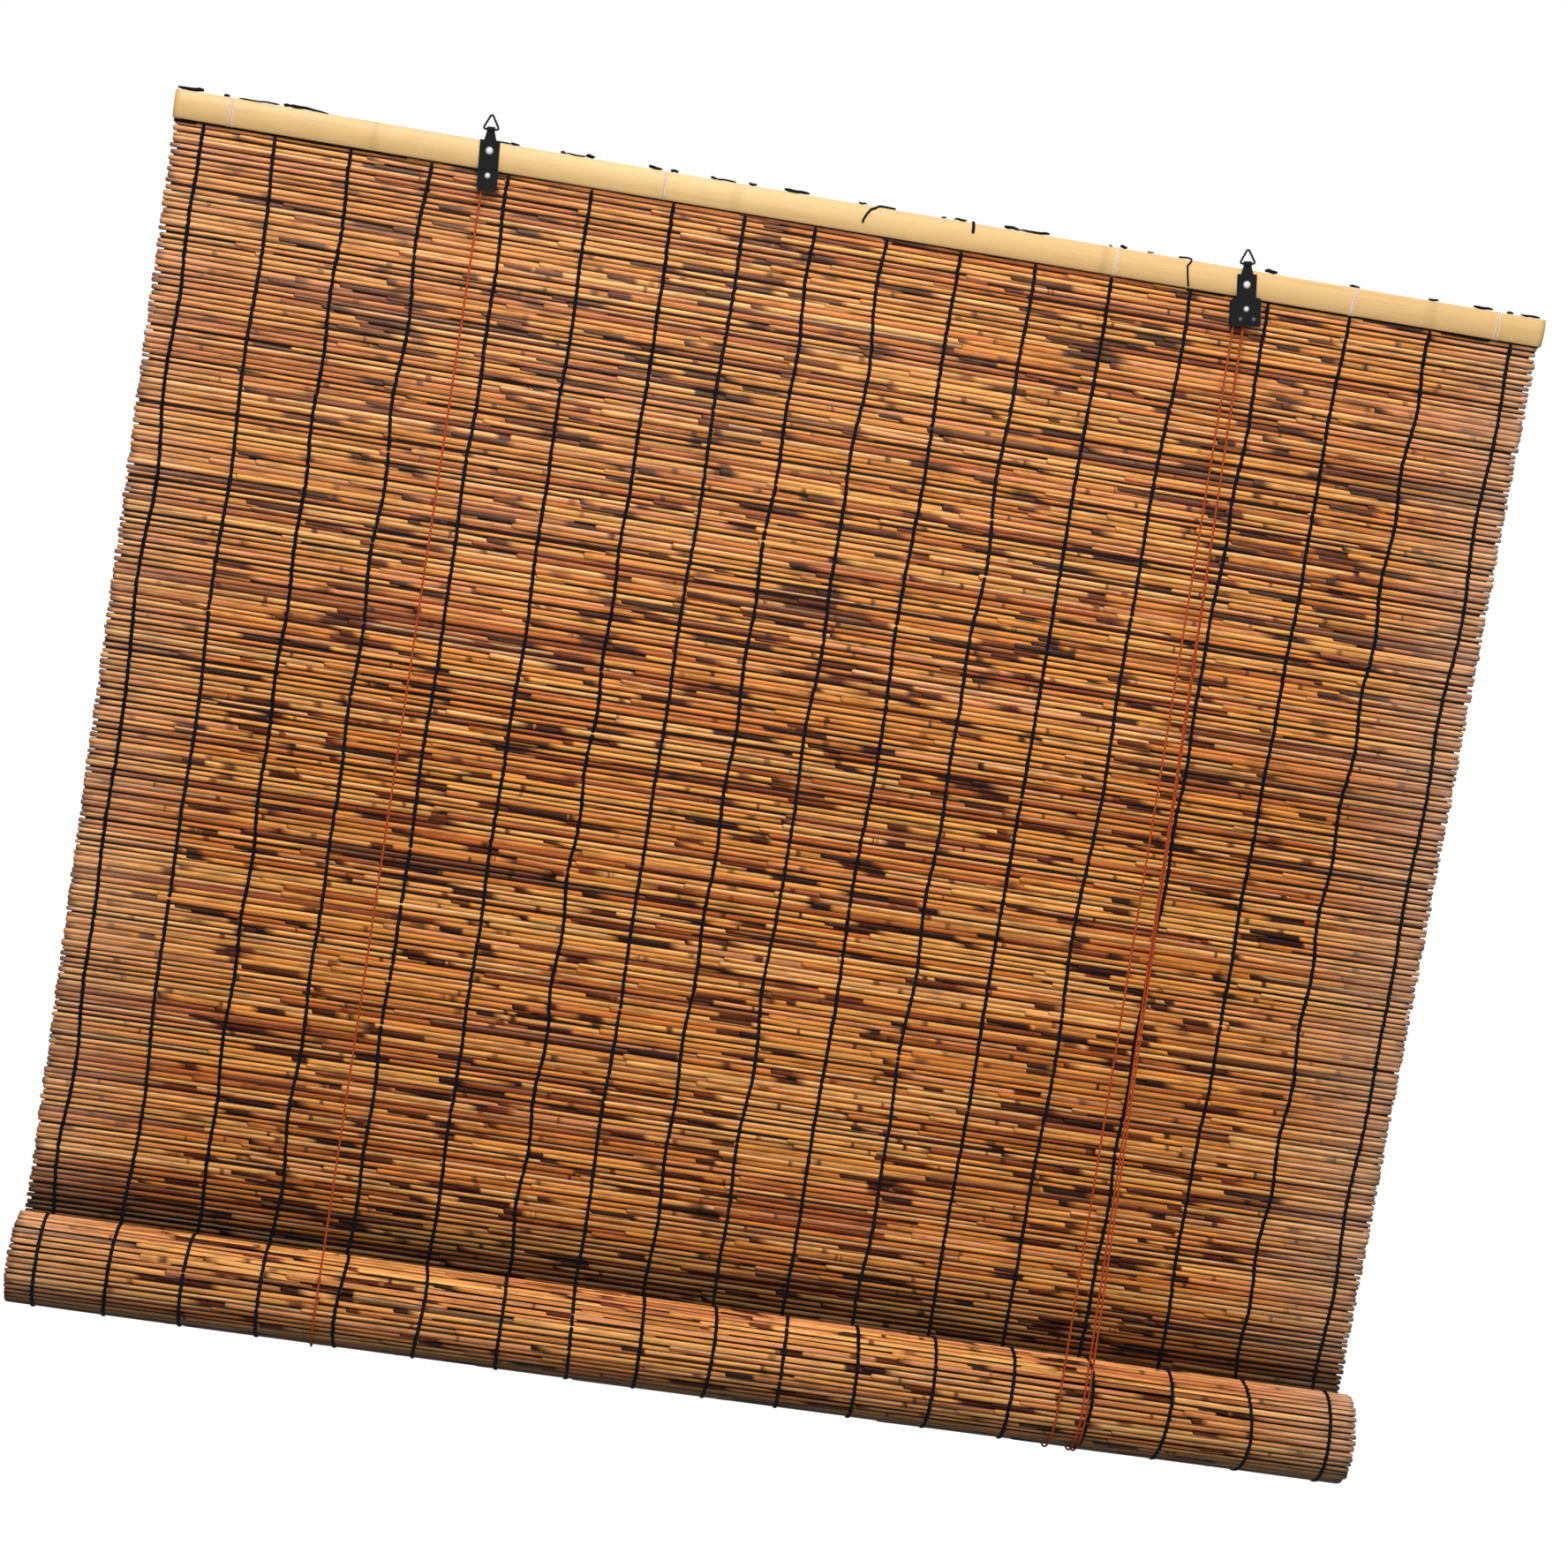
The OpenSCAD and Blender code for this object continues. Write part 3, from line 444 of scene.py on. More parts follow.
def reed_row(skin, centre, out, shade, plump=1.0, painted_light=0.0, uneven=1.0):
    """A row across the whole width. Stout rows stand out a little and slim ones lie back."""
    left = -MAT_W / 2 + rng.uniform(*ROW_END)
    right = MAT_W / 2 - rng.uniform(*ROW_END)
    stout = uneven * rng.uniform(-1, 1)
    centre = centre + out * STOUT_LIFT * stout
    thickness = 1 + STOUT_GIRTH * stout
    x, slide0, lift0 = left, rng.uniform(*SIDE_SLIDE), rng.uniform(*SIDE_LIFT)
    while True:
        end = x + rng.uniform(REED_SHORTEST, REED_LONGEST)
        last = right - end < REED_SHORTEST
        end = right if last else end
        slide1 = rng.uniform(*SIDE_SLIDE) if last else rng.uniform(*LAP_SLIDE)
        lift1 = rng.uniform(*SIDE_LIFT) if last else -LAP_LIFT
        slides, lifts = (slide0, slide1), (lift0, lift1)
        reed(skin, x, end, centre, out, shade, slides, lifts, plump, painted_light, thickness)
        if last:
            return
        x, slide0, lift0 = end - rng.uniform(*OVERLAP), -rng.uniform(*LAP_SLIDE), LAP_LIFT


FRONT = np.array([-1.0, 0.0])
# Painted shade in the gaps between rows: the front colour of a thin reed behind each gap; its back
# is reed colour
GAP_SHADE_COLOUR = srgb(44, 26, 18)
LINING_BACK = srgb(172, 106, 54)
LINING_DEEP, LINING_TALL = 0.9, 2.4
LINING_Y = 0.75
LINING_SHORT, LINING_SHADE = (2, 7), (0.6, 1.3)
LINING_TIP, LINING_TIP_SIZE = 2, 0.4


def shaded_gap_reed(skin, height):
    """A thin reed behind the gap between two rows, short of the mat's sides, dark in front as
    painted shade in the gap and reed-coloured behind.
    """
    half = MAT_W / 2
    left, right = -half + rng.uniform(*LINING_SHORT), half - rng.uniform(*LINING_SHORT)
    rings = []
    for x, size in (
        (left, LINING_TIP_SIZE), (left + LINING_TIP, 1.0),
        (right - LINING_TIP, 1.0), (right, LINING_TIP_SIZE),
    ):
        ring = np.empty((REED_SIDES, 3))
        ring[:, 0] = x
        ring[:, 1] = LINING_Y - np.cos(ANGLES) * LINING_DEEP * size
        ring[:, 2] = height - np.sin(ANGLES) * LINING_TALL * size
        rings.append(ring)
    tints = np.where(np.cos(ANGLES)[:, None] > FRONT_FROM, GAP_SHADE_COLOUR, LINING_BACK)
    skin.tube(rings, tints * rng.uniform(*LINING_SHADE))


# Painted shadow above the roll, a slope darker towards the bottom, and painted light under the
# batten
SHADOW_LEFT, SHADOW_OVER = 0.22, 75
SLOPE_LOW, SLOPE_MORE, SLOPE_OVER = 0.93, 0.11, 900
GLOW, GLOW_BELOW, GLOW_OVER = 0.7, 9, 7


def row_shade(height):
    """Painted shade and light by height: the reeds just above the roll darker as painted shadow,
    those just under the batten lighter as painted light, and the mat a little darker towards its
    bottom.
    """
    share = clamp((height - (ROLL_Z + ROLL_R)) / SHADOW_OVER)
    low = SHADOW_LEFT + (1 - SHADOW_LEFT) * math.sin(math.pi / 2 * share)
    slope = SLOPE_LOW + SLOPE_MORE * clamp((height - MAT_FOOT) / SLOPE_OVER)
    painted_light_under_batten = 1 + GLOW * clamp((height + BATTEN_H + GLOW_BELOW) / GLOW_OVER)
    return low * slope * painted_light_under_batten


# The mat in four pieces: three of the lower rows, which shorten when the roll goes up, and one of
# the uppermost rows, which stay as they are
PART_ROWS = ((0, 62), (62, 124), (124, 186), (186, MAT_ROWS))
ROW_OUT, ROW_UP = 0.2, 0.5
SPLIT_Z = MAT_FOOT + PART_ROWS[-1][0] * PITCH
mat_pieces = []
for part, rows in enumerate(PART_ROWS):
    mat = Skin()
    for row in range(*rows):
        height = MAT_FOOT + (row + 0.5) * PITCH
        place = np.array([rng.uniform(-ROW_OUT, ROW_OUT), height + rng.uniform(-ROW_UP, ROW_UP)])
        reed_row(mat, place, FRONT, row_shade(height))
        if row:
            shaded_gap_reed(mat, height - PITCH / 2)
    mat_pieces.append(mat.make("reeds_%d" % (part + 1), REED))


# Roll: the mat's lower length, wound as in the source on quarter turns about four centres

VOLUTE = TURN_STEP / 2 * np.array([[1, -1], [1, 1], [-1, 1], [-1, -1]])
DETAILED_QUARTERS = 5
ROLL_PLUMP, BEHIND_PLUMP = 1.2, 0.9
BEHIND_FROM = 3.2
BEHIND_SINK = -0.7
# Painted light: the rolled reeds are paler than the mat's, blended towards the highlight colour
ROLL_PAINTED_LIGHT = 0.16
ROLL_UNEVEN = 0.8
INNER_SHADE, INNER_INSET = 0.8, (0, 5)

# The roll's painted shade and light, by quarter turns from the mat's foot: how much, from which
# turn and over what
UNDER_DARK, UNDER_FROM, UNDER_RISE, UNDER_TO, UNDER_FADE = 0.9, 0.6, 0.4, 2.0, 0.65
BEHIND_DARK, BEHIND_DARK_FROM, BEHIND_OVER = 0.8, 3.22, 0.25
LIT_LEAST, LIT_MORE, LIT_FROM, LIT_OVER = 0.94, 0.2, 2.35, 0.45


def volute_point(turn, lift):
    """A point of the roll, lifted out of the mat's middle line, and the outward direction there."""
    k = min(int(turn), QUARTERS - 1)
    a = math.radians(90 * turn)
    out = np.array([math.cos(a), -math.sin(a)])
    centre = np.array([ROLL_Y + VOLUTE[k % 4][0], ROLL_Z - VOLUTE[k % 4][1]])
    return centre + out * (ROLL_R - k * TURN_STEP + lift), out


def turn_shade(turn):
    """Painted shade and light on the roll: the reeds under it, and those past its top that face the
    mat, are darker, and those towards its top lighter.
    """
    under = UNDER_DARK * clamp((UNDER_TO - turn) / UNDER_FADE)
    under *= clamp((turn - UNDER_FROM) / UNDER_RISE)
    behind = BEHIND_DARK * clamp((turn - BEHIND_DARK_FROM) / BEHIND_OVER)
    lit = LIT_LEAST + LIT_MORE * clamp((turn - LIT_FROM) / LIT_OVER)
    return lit * (1 - max(under, behind))


roll = Skin()
roll_turns = []
for k in range(QUARTERS):
    count = max(1, int(math.pi * (ROLL_R - k * TURN_STEP) / 2 / PITCH))
    for j in range(count):
        turn = k + (j + 0.5) / count
        roll_turns.append(turn)
        seen = turn < BEHIND_FROM
        centre, out = volute_point(turn, 0 if seen else BEHIND_SINK)
        if k < DETAILED_QUARTERS:
            plump, uneven = (ROLL_PLUMP, ROLL_UNEVEN) if seen else (BEHIND_PLUMP, 0.0)
            reed_row(roll, centre, out, turn_shade(turn), plump, ROLL_PAINTED_LIGHT, uneven)
        else:
            end = MAT_W / 2 - rng.uniform(*INNER_INSET)
            reed(roll, -end, end, centre, out, INNER_SHADE)
roll_piece = roll.make("rolled_reeds", REED)


# Warp threads, over each reed and in between

BLACK = srgb(20, 17, 19)
THREAD_SIDES = 6
THREAD_ANGLES = np.arange(THREAD_SIDES) * 2 * math.pi / THREAD_SIDES
WARP_DEPTH, WARP_SHADE = 0.55, (0.7, 1.3)
WARP_END_WIDTH, WARP_END_LIFT = 1.2, 0.2
WARP_SIDE = 25
DRIFT_MOST, DRIFT_TURN, DRIFT_LEFT = 22, 0.35, 0.4


def flat_ring(point, u, v, depth, width):
    """A ring round a point of a thread, half a depth along u and half a width along v."""
    cos, sin = np.cos(THREAD_ANGLES)[:, None], np.sin(THREAD_ANGLES)[:, None]
    return point + cos * u * depth + sin * v * width


def thread(skin, route, outs, widths, depth, tint):
    """A flat thread along a route; outs are the directions that its broad side faces."""
    route = np.asarray(route)
    heading = np.gradient(route, axis=0)
    rings = []
    for point, out, width, t in zip(route, outs, widths, heading):
        t = unit(t)
        u = unit(out - t * (out @ t))
        rings.append(flat_ring(point, u, np.cross(t, u), depth, width))
    skin.tube(rings, tint)


def warp_x(i):
    """The threads stand a little to the left of even spacing, as the solids' do."""
    share = i / (WARP_COUNT - 1)
    if share < DRIFT_TURN:
        drift = DRIFT_LEFT * math.sin(math.pi * share / DRIFT_TURN)
    else:
        drift = math.sin(math.pi * (share - DRIFT_TURN) / (1 - DRIFT_TURN))
    return -MAT_W / 2 + WARP_SIDE + share * (MAT_W - 2 * WARP_SIDE) - DRIFT_MOST * drift


WAVE_SIZE, WAVE_LENGTH, WAVE_PHASE, WAVES = (0.4, 1.3), (90, 420), (0, 6.28), 3


def wander():
    """A slow sideways drift of a thread, as a function of the length along it."""
    ranges = (WAVE_SIZE, WAVE_LENGTH, WAVE_PHASE)
    waves = [[rng.uniform(*span) for span in ranges] for _ in range(WAVES)]
    return lambda s: sum(
        size * math.sin(WAVE_PHASE[1] * s / length + phase) for size, length, phase in waves)


OVER_WIDTH, BETWEEN_WIDTH = (1.7, 2.2), (1.2, 1.7)
OVER_LIFT, BETWEEN_SINK = 0.8, 0.4
OVER_STRAY, BETWEEN_STRAY = 0.35, 0.3


def mat_warps(side, foot):
    """One side's threads: those on the uppermost rows, and those that shorten with the mat."""
    upper, lower = Skin(), Skin()
    for i in range(WARP_COUNT):
        drift = wander()
        route, widths = [], []
        for row in range(MAT_ROWS - 1, -1, -1):
            height = MAT_FOOT + (row + 0.5) * PITCH
            if WARP_TOP - PITCH / 2 > height > foot + PITCH / 2:
                x = warp_x(i) + drift(height) + rng.uniform(-OVER_STRAY, OVER_STRAY)
                route.append((x, side * (REED_R + OVER_LIFT), height))
                widths.append(rng.uniform(*OVER_WIDTH))
                x += rng.uniform(-BETWEEN_STRAY, BETWEEN_STRAY)
                route.append((x, side * (REED_R - BETWEEN_SINK), height - PITCH / 2))
                widths.append(rng.uniform(*BETWEEN_WIDTH))
        route.insert(0, (route[0][0], side * (REED_R + WARP_END_LIFT), WARP_TOP))
        widths.insert(0, WARP_END_WIDTH)
        outs = [np.array([0.0, side, 0.0])] * len(route)
        tint = BLACK * rng.uniform(*WARP_SHADE)
        cut = next(n for n, point in enumerate(route) if point[2] < SPLIT_Z + 0.1)
        for skin, part in ((upper, slice(cut + 1)), (lower, slice(cut, None))):
            thread(skin, route[part], outs[part], widths[part], WARP_DEPTH, tint)
    return upper, lower


front_upper, front_lower = mat_warps(-1, WARP_FOOT)
back_upper, back_lower = mat_warps(1, MAT_FOOT)
front_warps = front_lower.make("front_threads", THREAD)
back_warps = back_lower.make("back_threads", THREAD)
front_warp_tops = front_upper.make("front_threads_top", THREAD)
back_warp_tops = back_upper.make("back_threads_top", THREAD)

ROLL_WARP_TO = 3.5
ROLL_BETWEEN = 1.5
QUARTER_LENGTH = 62
roll_thread = Skin()
for i in range(WARP_COUNT):
    drift = wander()
    route, outs, widths = [], [], []
    for a, b in zip(roll_turns, roll_turns[1:]):
        if a > ROLL_WARP_TO:
            break
        over = (a, REED_R + OVER_LIFT, rng.uniform(*OVER_WIDTH))
        between = ((a + b) / 2, REED_R - BETWEEN_SINK, ROLL_BETWEEN)
        for turn, lift, width in (over, between):
            yz, out = volute_point(turn, lift)
            x = warp_x(i) + drift(turn * QUARTER_LENGTH)
            route.append((x + rng.uniform(-BETWEEN_STRAY, BETWEEN_STRAY), *yz))
            outs.append(np.array([0.0, *out]))
            widths.append(width)
    thread(roll_thread, route, outs, widths, WARP_DEPTH, BLACK * rng.uniform(*WARP_SHADE))
roll_warps = roll_thread.make("roll_threads", THREAD)


# Cords, laid up from three strands

RUST = srgb(172, 72, 34)
CORD_SIDES = 9
CORD_STEP = 1.3
STRANDS, LAY, STRAND_DEPTH = 3, 7.0, 0.11
CORD_SHADE, CORD_DIM, DIM_OVER = (0.9, 1.1), 0.4, 25


def resample(route, step):
    """Points along a route at about even steps, and the length up to each."""
    route = np.asarray(route, float)
    lengths = np.linalg.norm(np.diff(route, axis=0), axis=1)
    reach = np.concatenate([[0], np.cumsum(lengths)])
    count = max(2, int(round(reach[-1] / step)) + 1)
    at = np.linspace(0, reach[-1], count)
    return np.stack([np.interp(at, reach, route[:, c]) for c in range(3)], -1), at


def cord(skin, route):
    """A twisted cord along a route, darker under the roll as painted shade."""
    points, at = resample(route, CORD_STEP)
    heading = np.gradient(points, axis=0)
    u = None
    rings = []
    angles = np.arange(CORD_SIDES) * 2 * math.pi / CORD_SIDES
    for point, t, s in zip(points, heading, at):
        t = unit(t)
        if u is None:
            u = np.array([1.0, 0, 0]) if abs(t[0]) < 0.8 else np.array([0, 1.0, 0])
        u = unit(u - t * (u @ t))
        v = np.cross(t, u)
        twist = 2 * math.pi * s / (STRANDS * LAY)
        radius = CORD_R * (1 - STRAND_DEPTH + STRAND_DEPTH * np.cos(STRANDS * (angles - twist)))
        across, up = (np.cos(angles) * radius)[:, None], (np.sin(angles) * radius)[:, None]
        rings.append(point + across * u + up * v)
    # Painted shade: the cord is darker where it runs under the roll
    shade = np.clip((points[:, 2] - ROLL_Z + SLING_R) / DIM_OVER, CORD_DIM, 1.0)
    skin.tube(rings, shade[:, None, None] * RUST * rng.uniform(*CORD_SHADE))


def lean(x0, z0, angle, x, z):
    """A point of a hanger, given in the hanger's own upright frame."""
    a = math.radians(angle)
    return x0 + x * math.cos(a) - z * math.sin(a), z0 + x * math.sin(a) + z * math.cos(a)


PASS = 0.3
PULLEY_R, LOCK_R = 3.6, 4.5
LEFT_X, LEFT_Z, LEFT_LEAN = -332, -8, 4
RIGHT_X, RIGHT_Z, RIGHT_LEAN = 332, -13, 8
RIVET_STEP = 20.95 / math.cos(math.radians(LEFT_LEAN))
LOCK_DOWN = RIVET_STEP + 8.55
LOCK_LEFT = 5.8 - 6.5 * math.tan(math.radians(RIGHT_LEAN))
PULLEY_X, PULLEY_Z = lean(LEFT_X, LEFT_Z, LEFT_LEAN, 0, -RIVET_STEP)
LOCK_X, LOCK_Z = lean(RIGHT_X, RIGHT_Z, RIGHT_LEAN, -LOCK_LEFT, -LOCK_DOWN)
PULLEY_Y = -6.725
GROOVE_A, GROOVE_B = -7.3 - 1.45, -7.3 + 1.45
LOOP_Y = 10.45
UPRIGHT = 5.9
LEFT_SLING_X, RIGHT_SLING_X, PULL_X, PULL_GAP = -331, 327, 351, 4


def touch(y, z, front):
    """The angle on the slings' circle where a cord from y, z touches it, in front or behind."""
    reach = math.degrees(math.acos(SLING_R / math.hypot(y - ROLL_Y, z - ROLL_Z)))
    steer = math.degrees(math.atan2(y - ROLL_Y, z - ROLL_Z))
    return steer - reach + 270 if front else steer + reach - 90


HUG = 1.3
SLING_STEPS, TAIL_STEPS = 40, 20


def on_sling(x, a):
    """A point of the slings' circle; under the roll the cord hugs the reeds a little closer."""
    a = math.radians(a)
    radius = SLING_R - HUG * max(0.0, math.sin(a)) ** 0.5
    return np.array([x, ROLL_Y + radius * math.cos(a), ROLL_Z - radius * math.sin(a)])


def sling(x, a0, a1, steps=SLING_STEPS):
    return [on_sling(x, a0 + (a1 - a0) * i / steps) for i in range(steps + 1)]


def strand_route(top, x, front):
    """A strand from a wheel or rivet, upright at first, to where it touches the slings' circle."""
    top = np.array(top, float)
    foot = on_sling(x, touch(top[1], top[2], front))
    return [top - [0, 0, PASS], top - [0, 0, UPRIGHT], foot + PASS * unit(top - foot)]


left_top = (PULLEY_X - PULLEY_R, PULLEY_Y, PULLEY_Z)
right_top = (LOCK_X - LOCK_R, GROOVE_A, LOCK_Z)
pull_a_top = (LOCK_X + LOCK_R, GROOVE_A, LOCK_Z)
pull_b_top = (LOCK_X + LOCK_R, GROOVE_B, LOCK_Z)
LOOP_DROP = 3.7
left_back_top = (LEFT_X, LOOP_Y, LEFT_Z - LOOP_DROP)
right_back_top = (RIGHT_X, LOOP_Y, RIGHT_Z - LOOP_DROP)
PULL_A_X, PULL_B_X = PULL_X - PULL_GAP / 2, PULL_X + PULL_GAP / 2

strands = {
    "left_lift_front": strand_route(left_top, LEFT_SLING_X, True),
    "left_lift_back": strand_route(left_back_top, LEFT_SLING_X, False),
    "right_lift_front": strand_route(right_top, RIGHT_SLING_X, True),
    "right_lift_back": strand_route(right_back_top, RIGHT_SLING_X, False),
    "pull_strand_a": strand_route(pull_a_top, PULL_A_X, True),
    "pull_strand_b": strand_route(pull_b_top, PULL_B_X, True),
}

# Each front strand in three: what stays behind the hanger, what shortens and what rides on the lift
LEFT_TURN_Z, RIGHT_TURN_Z = -44.0, -52.5
TURN_Z = {
    "left_lift_front": LEFT_TURN_Z,
    "right_lift_front": RIGHT_TURN_Z,
    "pull_strand_a": RIGHT_TURN_Z,
    "pull_strand_b": RIGHT_TURN_Z,
}
FALL = 12.0


def at_height(bend, foot, z):
    return bend + (foot - bend) * (z - bend[2]) / (foot[2] - bend[2])


strand_tops, strand_feet = {}, {}
for name, turn_z in TURN_Z.items():
    top, bend, foot = (np.asarray(point) for point in strands[name])
    turn, low = at_height(bend, foot, turn_z), at_height(bend, foot, turn_z - FALL - TRAVEL)
    strand_tops[name] = [top, bend, turn]
    strands[name] = [turn, low]
    strand_feet[name] = [low, foot]


def cord_pieces(routes, ending):
    pieces = {}
    for name, route in routes.items():
        skin = Skin()
        cord(skin, route)
        pieces[name] = skin.make(name + ending, CORD)
    return pieces


strand_pieces = cord_pieces(strands, "_cord")
top_pieces = cord_pieces(strand_tops, "_top")

HANK_FRONT = ROLL_Y + SLING_R + CORD_R + PASS
HANK_Z = ROLL_Z - 4
TAIL_IN_Z = ROLL_Z - 20
TAIL_LEAVE = 45
JOIN = 0.05
TAIL_IN = ((-5, -2), (-2, 0), (-JOIN, 0))


def tail_route(x, start):
    """From the front of the roll under it, then back into the hank."""
    turn = sling(x, start, TAIL_LEAVE, TAIL_STEPS)
    return turn + [np.array([x, HANK_FRONT + y, TAIL_IN_Z + z]) for y, z in TAIL_IN]


held = {}
for side, x, back_top, top in (
    ("left", LEFT_SLING_X, left_back_top, left_top),
    ("right", RIGHT_SLING_X, right_back_top, right_top),
):
    under = sling(x, touch(*back_top[1:], False), touch(*top[1:], True))
    held[side + "_lift_sling"] = strand_feet[side + "_lift_front"] + under[::-1]
for end, x, top in (("a", PULL_A_X, pull_a_top), ("b", PULL_B_X, pull_b_top)):
    tail = tail_route(x, touch(*top[1:], True))
    held["pull_tail_" + end] = strand_feet["pull_strand_" + end] + tail
held_pieces = cord_pieces(held, "_cord")


HANK_RUN = 18.0
HANK_RADII = (7.6, 9.8, 12.0)
LAYER_FIRST, LAYER_STEP = 1.1, 2.1
HANK_LAYERS = tuple(HANK_FRONT + LAYER_FIRST + LAYER_STEP * n for n in (3, 2, 1, 0))
ENTRY_BEND = 5.0
ENTRY_EASE, ENTRY_RISE, EXIT_RISE = 18, 8, 7
QUARTER_STEPS, RUN_STEPS, BACK_STEPS, BEND_STEPS = 8, 12, 8, 16


def smooth(share):
    share = clamp(share)
    return share * share * (3 - 2 * share)


def hank_turns():
    """The pull cord's spare length, from the end of tail a to that of tail b, in four layers."""
    top, foot = HANK_Z + HANK_RUN, HANK_Z - HANK_RUN
    bend_z = TAIL_IN_Z + ENTRY_BEND
    entry_y = HANK_FRONT - JOIN
    deep_y = entry_y + ENTRY_BEND
    radii, depths = [], []
    for n, y in enumerate(HANK_LAYERS):
        radii += HANK_RADII if n % 2 == 0 else HANK_RADII[::-1]
        depths += [y] * len(HANK_RADII)
    quarter = [math.radians(90 * i / QUARTER_STEPS) for i in range(QUARTER_STEPS + 1)]
    entry = [
        (entry_y + ENTRY_BEND * math.sin(a), bend_z - ENTRY_BEND * math.cos(a)) for a in quarter]
    points = [(PULL_A_X, y, z) for y, z in entry]
    for n, (radius, y) in enumerate(zip(radii, depths)):
        start_y = depths[n - 1] if n else y
        for i in range(1, RUN_STEPS + 1):
            z = foot + (top - foot) * i / RUN_STEPS
            if n:
                run_y = start_y + (y - start_y) * smooth(i / RUN_STEPS)
                points.append((PULL_X - radius, run_y, z))
            elif z > bend_z:
                aside = smooth((z - bend_z - ENTRY_RISE) / (top - bend_z - ENTRY_RISE))
                inward = smooth((z - bend_z) / ENTRY_EASE)
                x = PULL_A_X + (PULL_X - radius - PULL_A_X) * aside
                points.append((x, deep_y + (y - deep_y) * inward, z))
        for i in range(1, BEND_STEPS + 1):
            a = math.pi * (1 - i / BEND_STEPS)
            points.append((PULL_X + radius * math.cos(a), y, top + radius * math.sin(a)))
        if n == len(radii) - 1:
            break
        for i in range(1, BACK_STEPS + 1):
            points.append((PULL_X + radius, y, top - (top - foot) * i / BACK_STEPS))
        following = radii[n + 1]
        middle, wide = PULL_X + (radius - following) / 2, (radius + following) / 2
        for i in range(1, BEND_STEPS + 1):
            a = -math.pi * i / BEND_STEPS
            points.append((middle + wide * math.cos(a), y, foot + wide * math.sin(a)))
    for i in range(1, RUN_STEPS + 1):
        z = top + (bend_z - top) * i / RUN_STEPS
        aside = smooth((top - z) / ENTRY_EASE)
        outward = smooth((top - EXIT_RISE - z) / (top - EXIT_RISE - bend_z))
        x = PULL_X + radius + (PULL_B_X - PULL_X - radius) * aside
        points.append((x, y + (deep_y - y) * outward, z))
    return points + [(PULL_B_X, y, z) for y, z in entry[::-1]]


hank_route = hank_turns()
skin = Skin()
cord(skin, hank_route)
hank_piece = skin.make("hank_cord", CORD)

# The tie that holds the hank, lashed to the right sling beside it
HANK_BACK = HANK_FRONT + 8.5
HANK_SIDE = 13.0
TIE_R = 0.4
TIE_ROUND, LASH_ROUND = 3.0, 1.4
TIE_WIDTH, TIE_STEP, TIE_LEAN = 0.5, 1.0, 0.03
LASH_IN, LASH_BACK = 2.0, 2.2
CORNER_STEPS = 6


def rounded_box(x0, x1, y0, y1, r):
    """Points round an upright box's waist, with its outward directions."""
    points, outs = [], []
    left, right, front, back = x0 + r, x1 - r, y0 + r, y1 - r
    for cx, cy, start in (
        (right, front, -90), (right, back, 0), (left, back, 90), (left, front, 180),
    ):
        for i in range(CORNER_STEPS + 1):
            a = math.radians(start + 90 * i / CORNER_STEPS)
            points.append((cx + r * math.cos(a), cy + r * math.sin(a)))
            outs.append(np.array([math.cos(a), math.sin(a), 0.0]))
    return points, outs


def tie_turn(skin, box, turn):
    """One turn of the tie round a box, a little higher or lower than the middle turn."""
    points, outs = rounded_box(*box)
    slope = TIE_LEAN * turn
    route = [
        (x, y, HANK_Z + TIE_STEP * turn + slope * (x - PULL_X)) for x, y in points + points[:2]]
    thread(skin, route, outs + outs[:2], [TIE_WIDTH] * len(route), TIE_R, BLACK)


sling_y = ROLL_Y + SLING_R
hank_box = (
    PULL_X - HANK_SIDE - TIE_R, PULL_X + HANK_SIDE + TIE_R,
    HANK_FRONT - TIE_R, HANK_BACK + TIE_R, TIE_ROUND,
)
lash_box = (
    RIGHT_SLING_X - CORD_R - TIE_R, PULL_X - HANK_SIDE + LASH_IN,
    sling_y - CORD_R - TIE_R, sling_y + CORD_R + LASH_BACK, LASH_ROUND,
)
tie_skin = Skin()
for turn in (-1, 0, 1):
    tie_turn(tie_skin, hank_box, turn)
tie_turn(tie_skin, lash_box, 0)
hank_tie = tie_skin.make("hank_tie", THREAD)


# Head battens of split bamboo, with faint joints and rounded edges

PALE = srgb(226, 190, 130)
PEACH = srgb(222, 181, 120)
BATTEN_RINGS = 240
JOINTS = (-430, -118, 205, 498)
JOINT_HALF, JOINT_SWELL, JOINT_DARK = 3.5, 0.03, 0.16
BATTEN_SWELL = 0.012
# How dark the batten's foot is painted, rising to full colour at its top: painted shade
BATTEN_FOOT = 0.93
ROUND = 0.7
FACE_STEPS = 12


def batten_profile():
    """Points round a batten, depth and height, from the foot of its face to its top and back."""
    points = []
    for i in range(FACE_STEPS + 1):
        z = -BATTEN_H + ROUND + (BATTEN_H - 2 * ROUND) * i / FACE_STEPS
        points.append((math.sqrt(CROWN_R ** 2 - (z + BATTEN_H / 2) ** 2) - CROWN_R + BATTEN_OUT, z))
    edge = points[-1][0]
    points += [(edge - 0.5, -0.12), (edge - 1.1, 0.0), (BATTEN_IN + 0.4, 0.0), (BATTEN_IN, -0.4)]
    points += [(BATTEN_IN, 0.4 - BATTEN_H), (BATTEN_IN + 0.4, -BATTEN_H)]
    points += [(edge - 1.1, -BATTEN_H), (edge - 0.5, 0.12 - BATTEN_H)]
    return np.array(points)


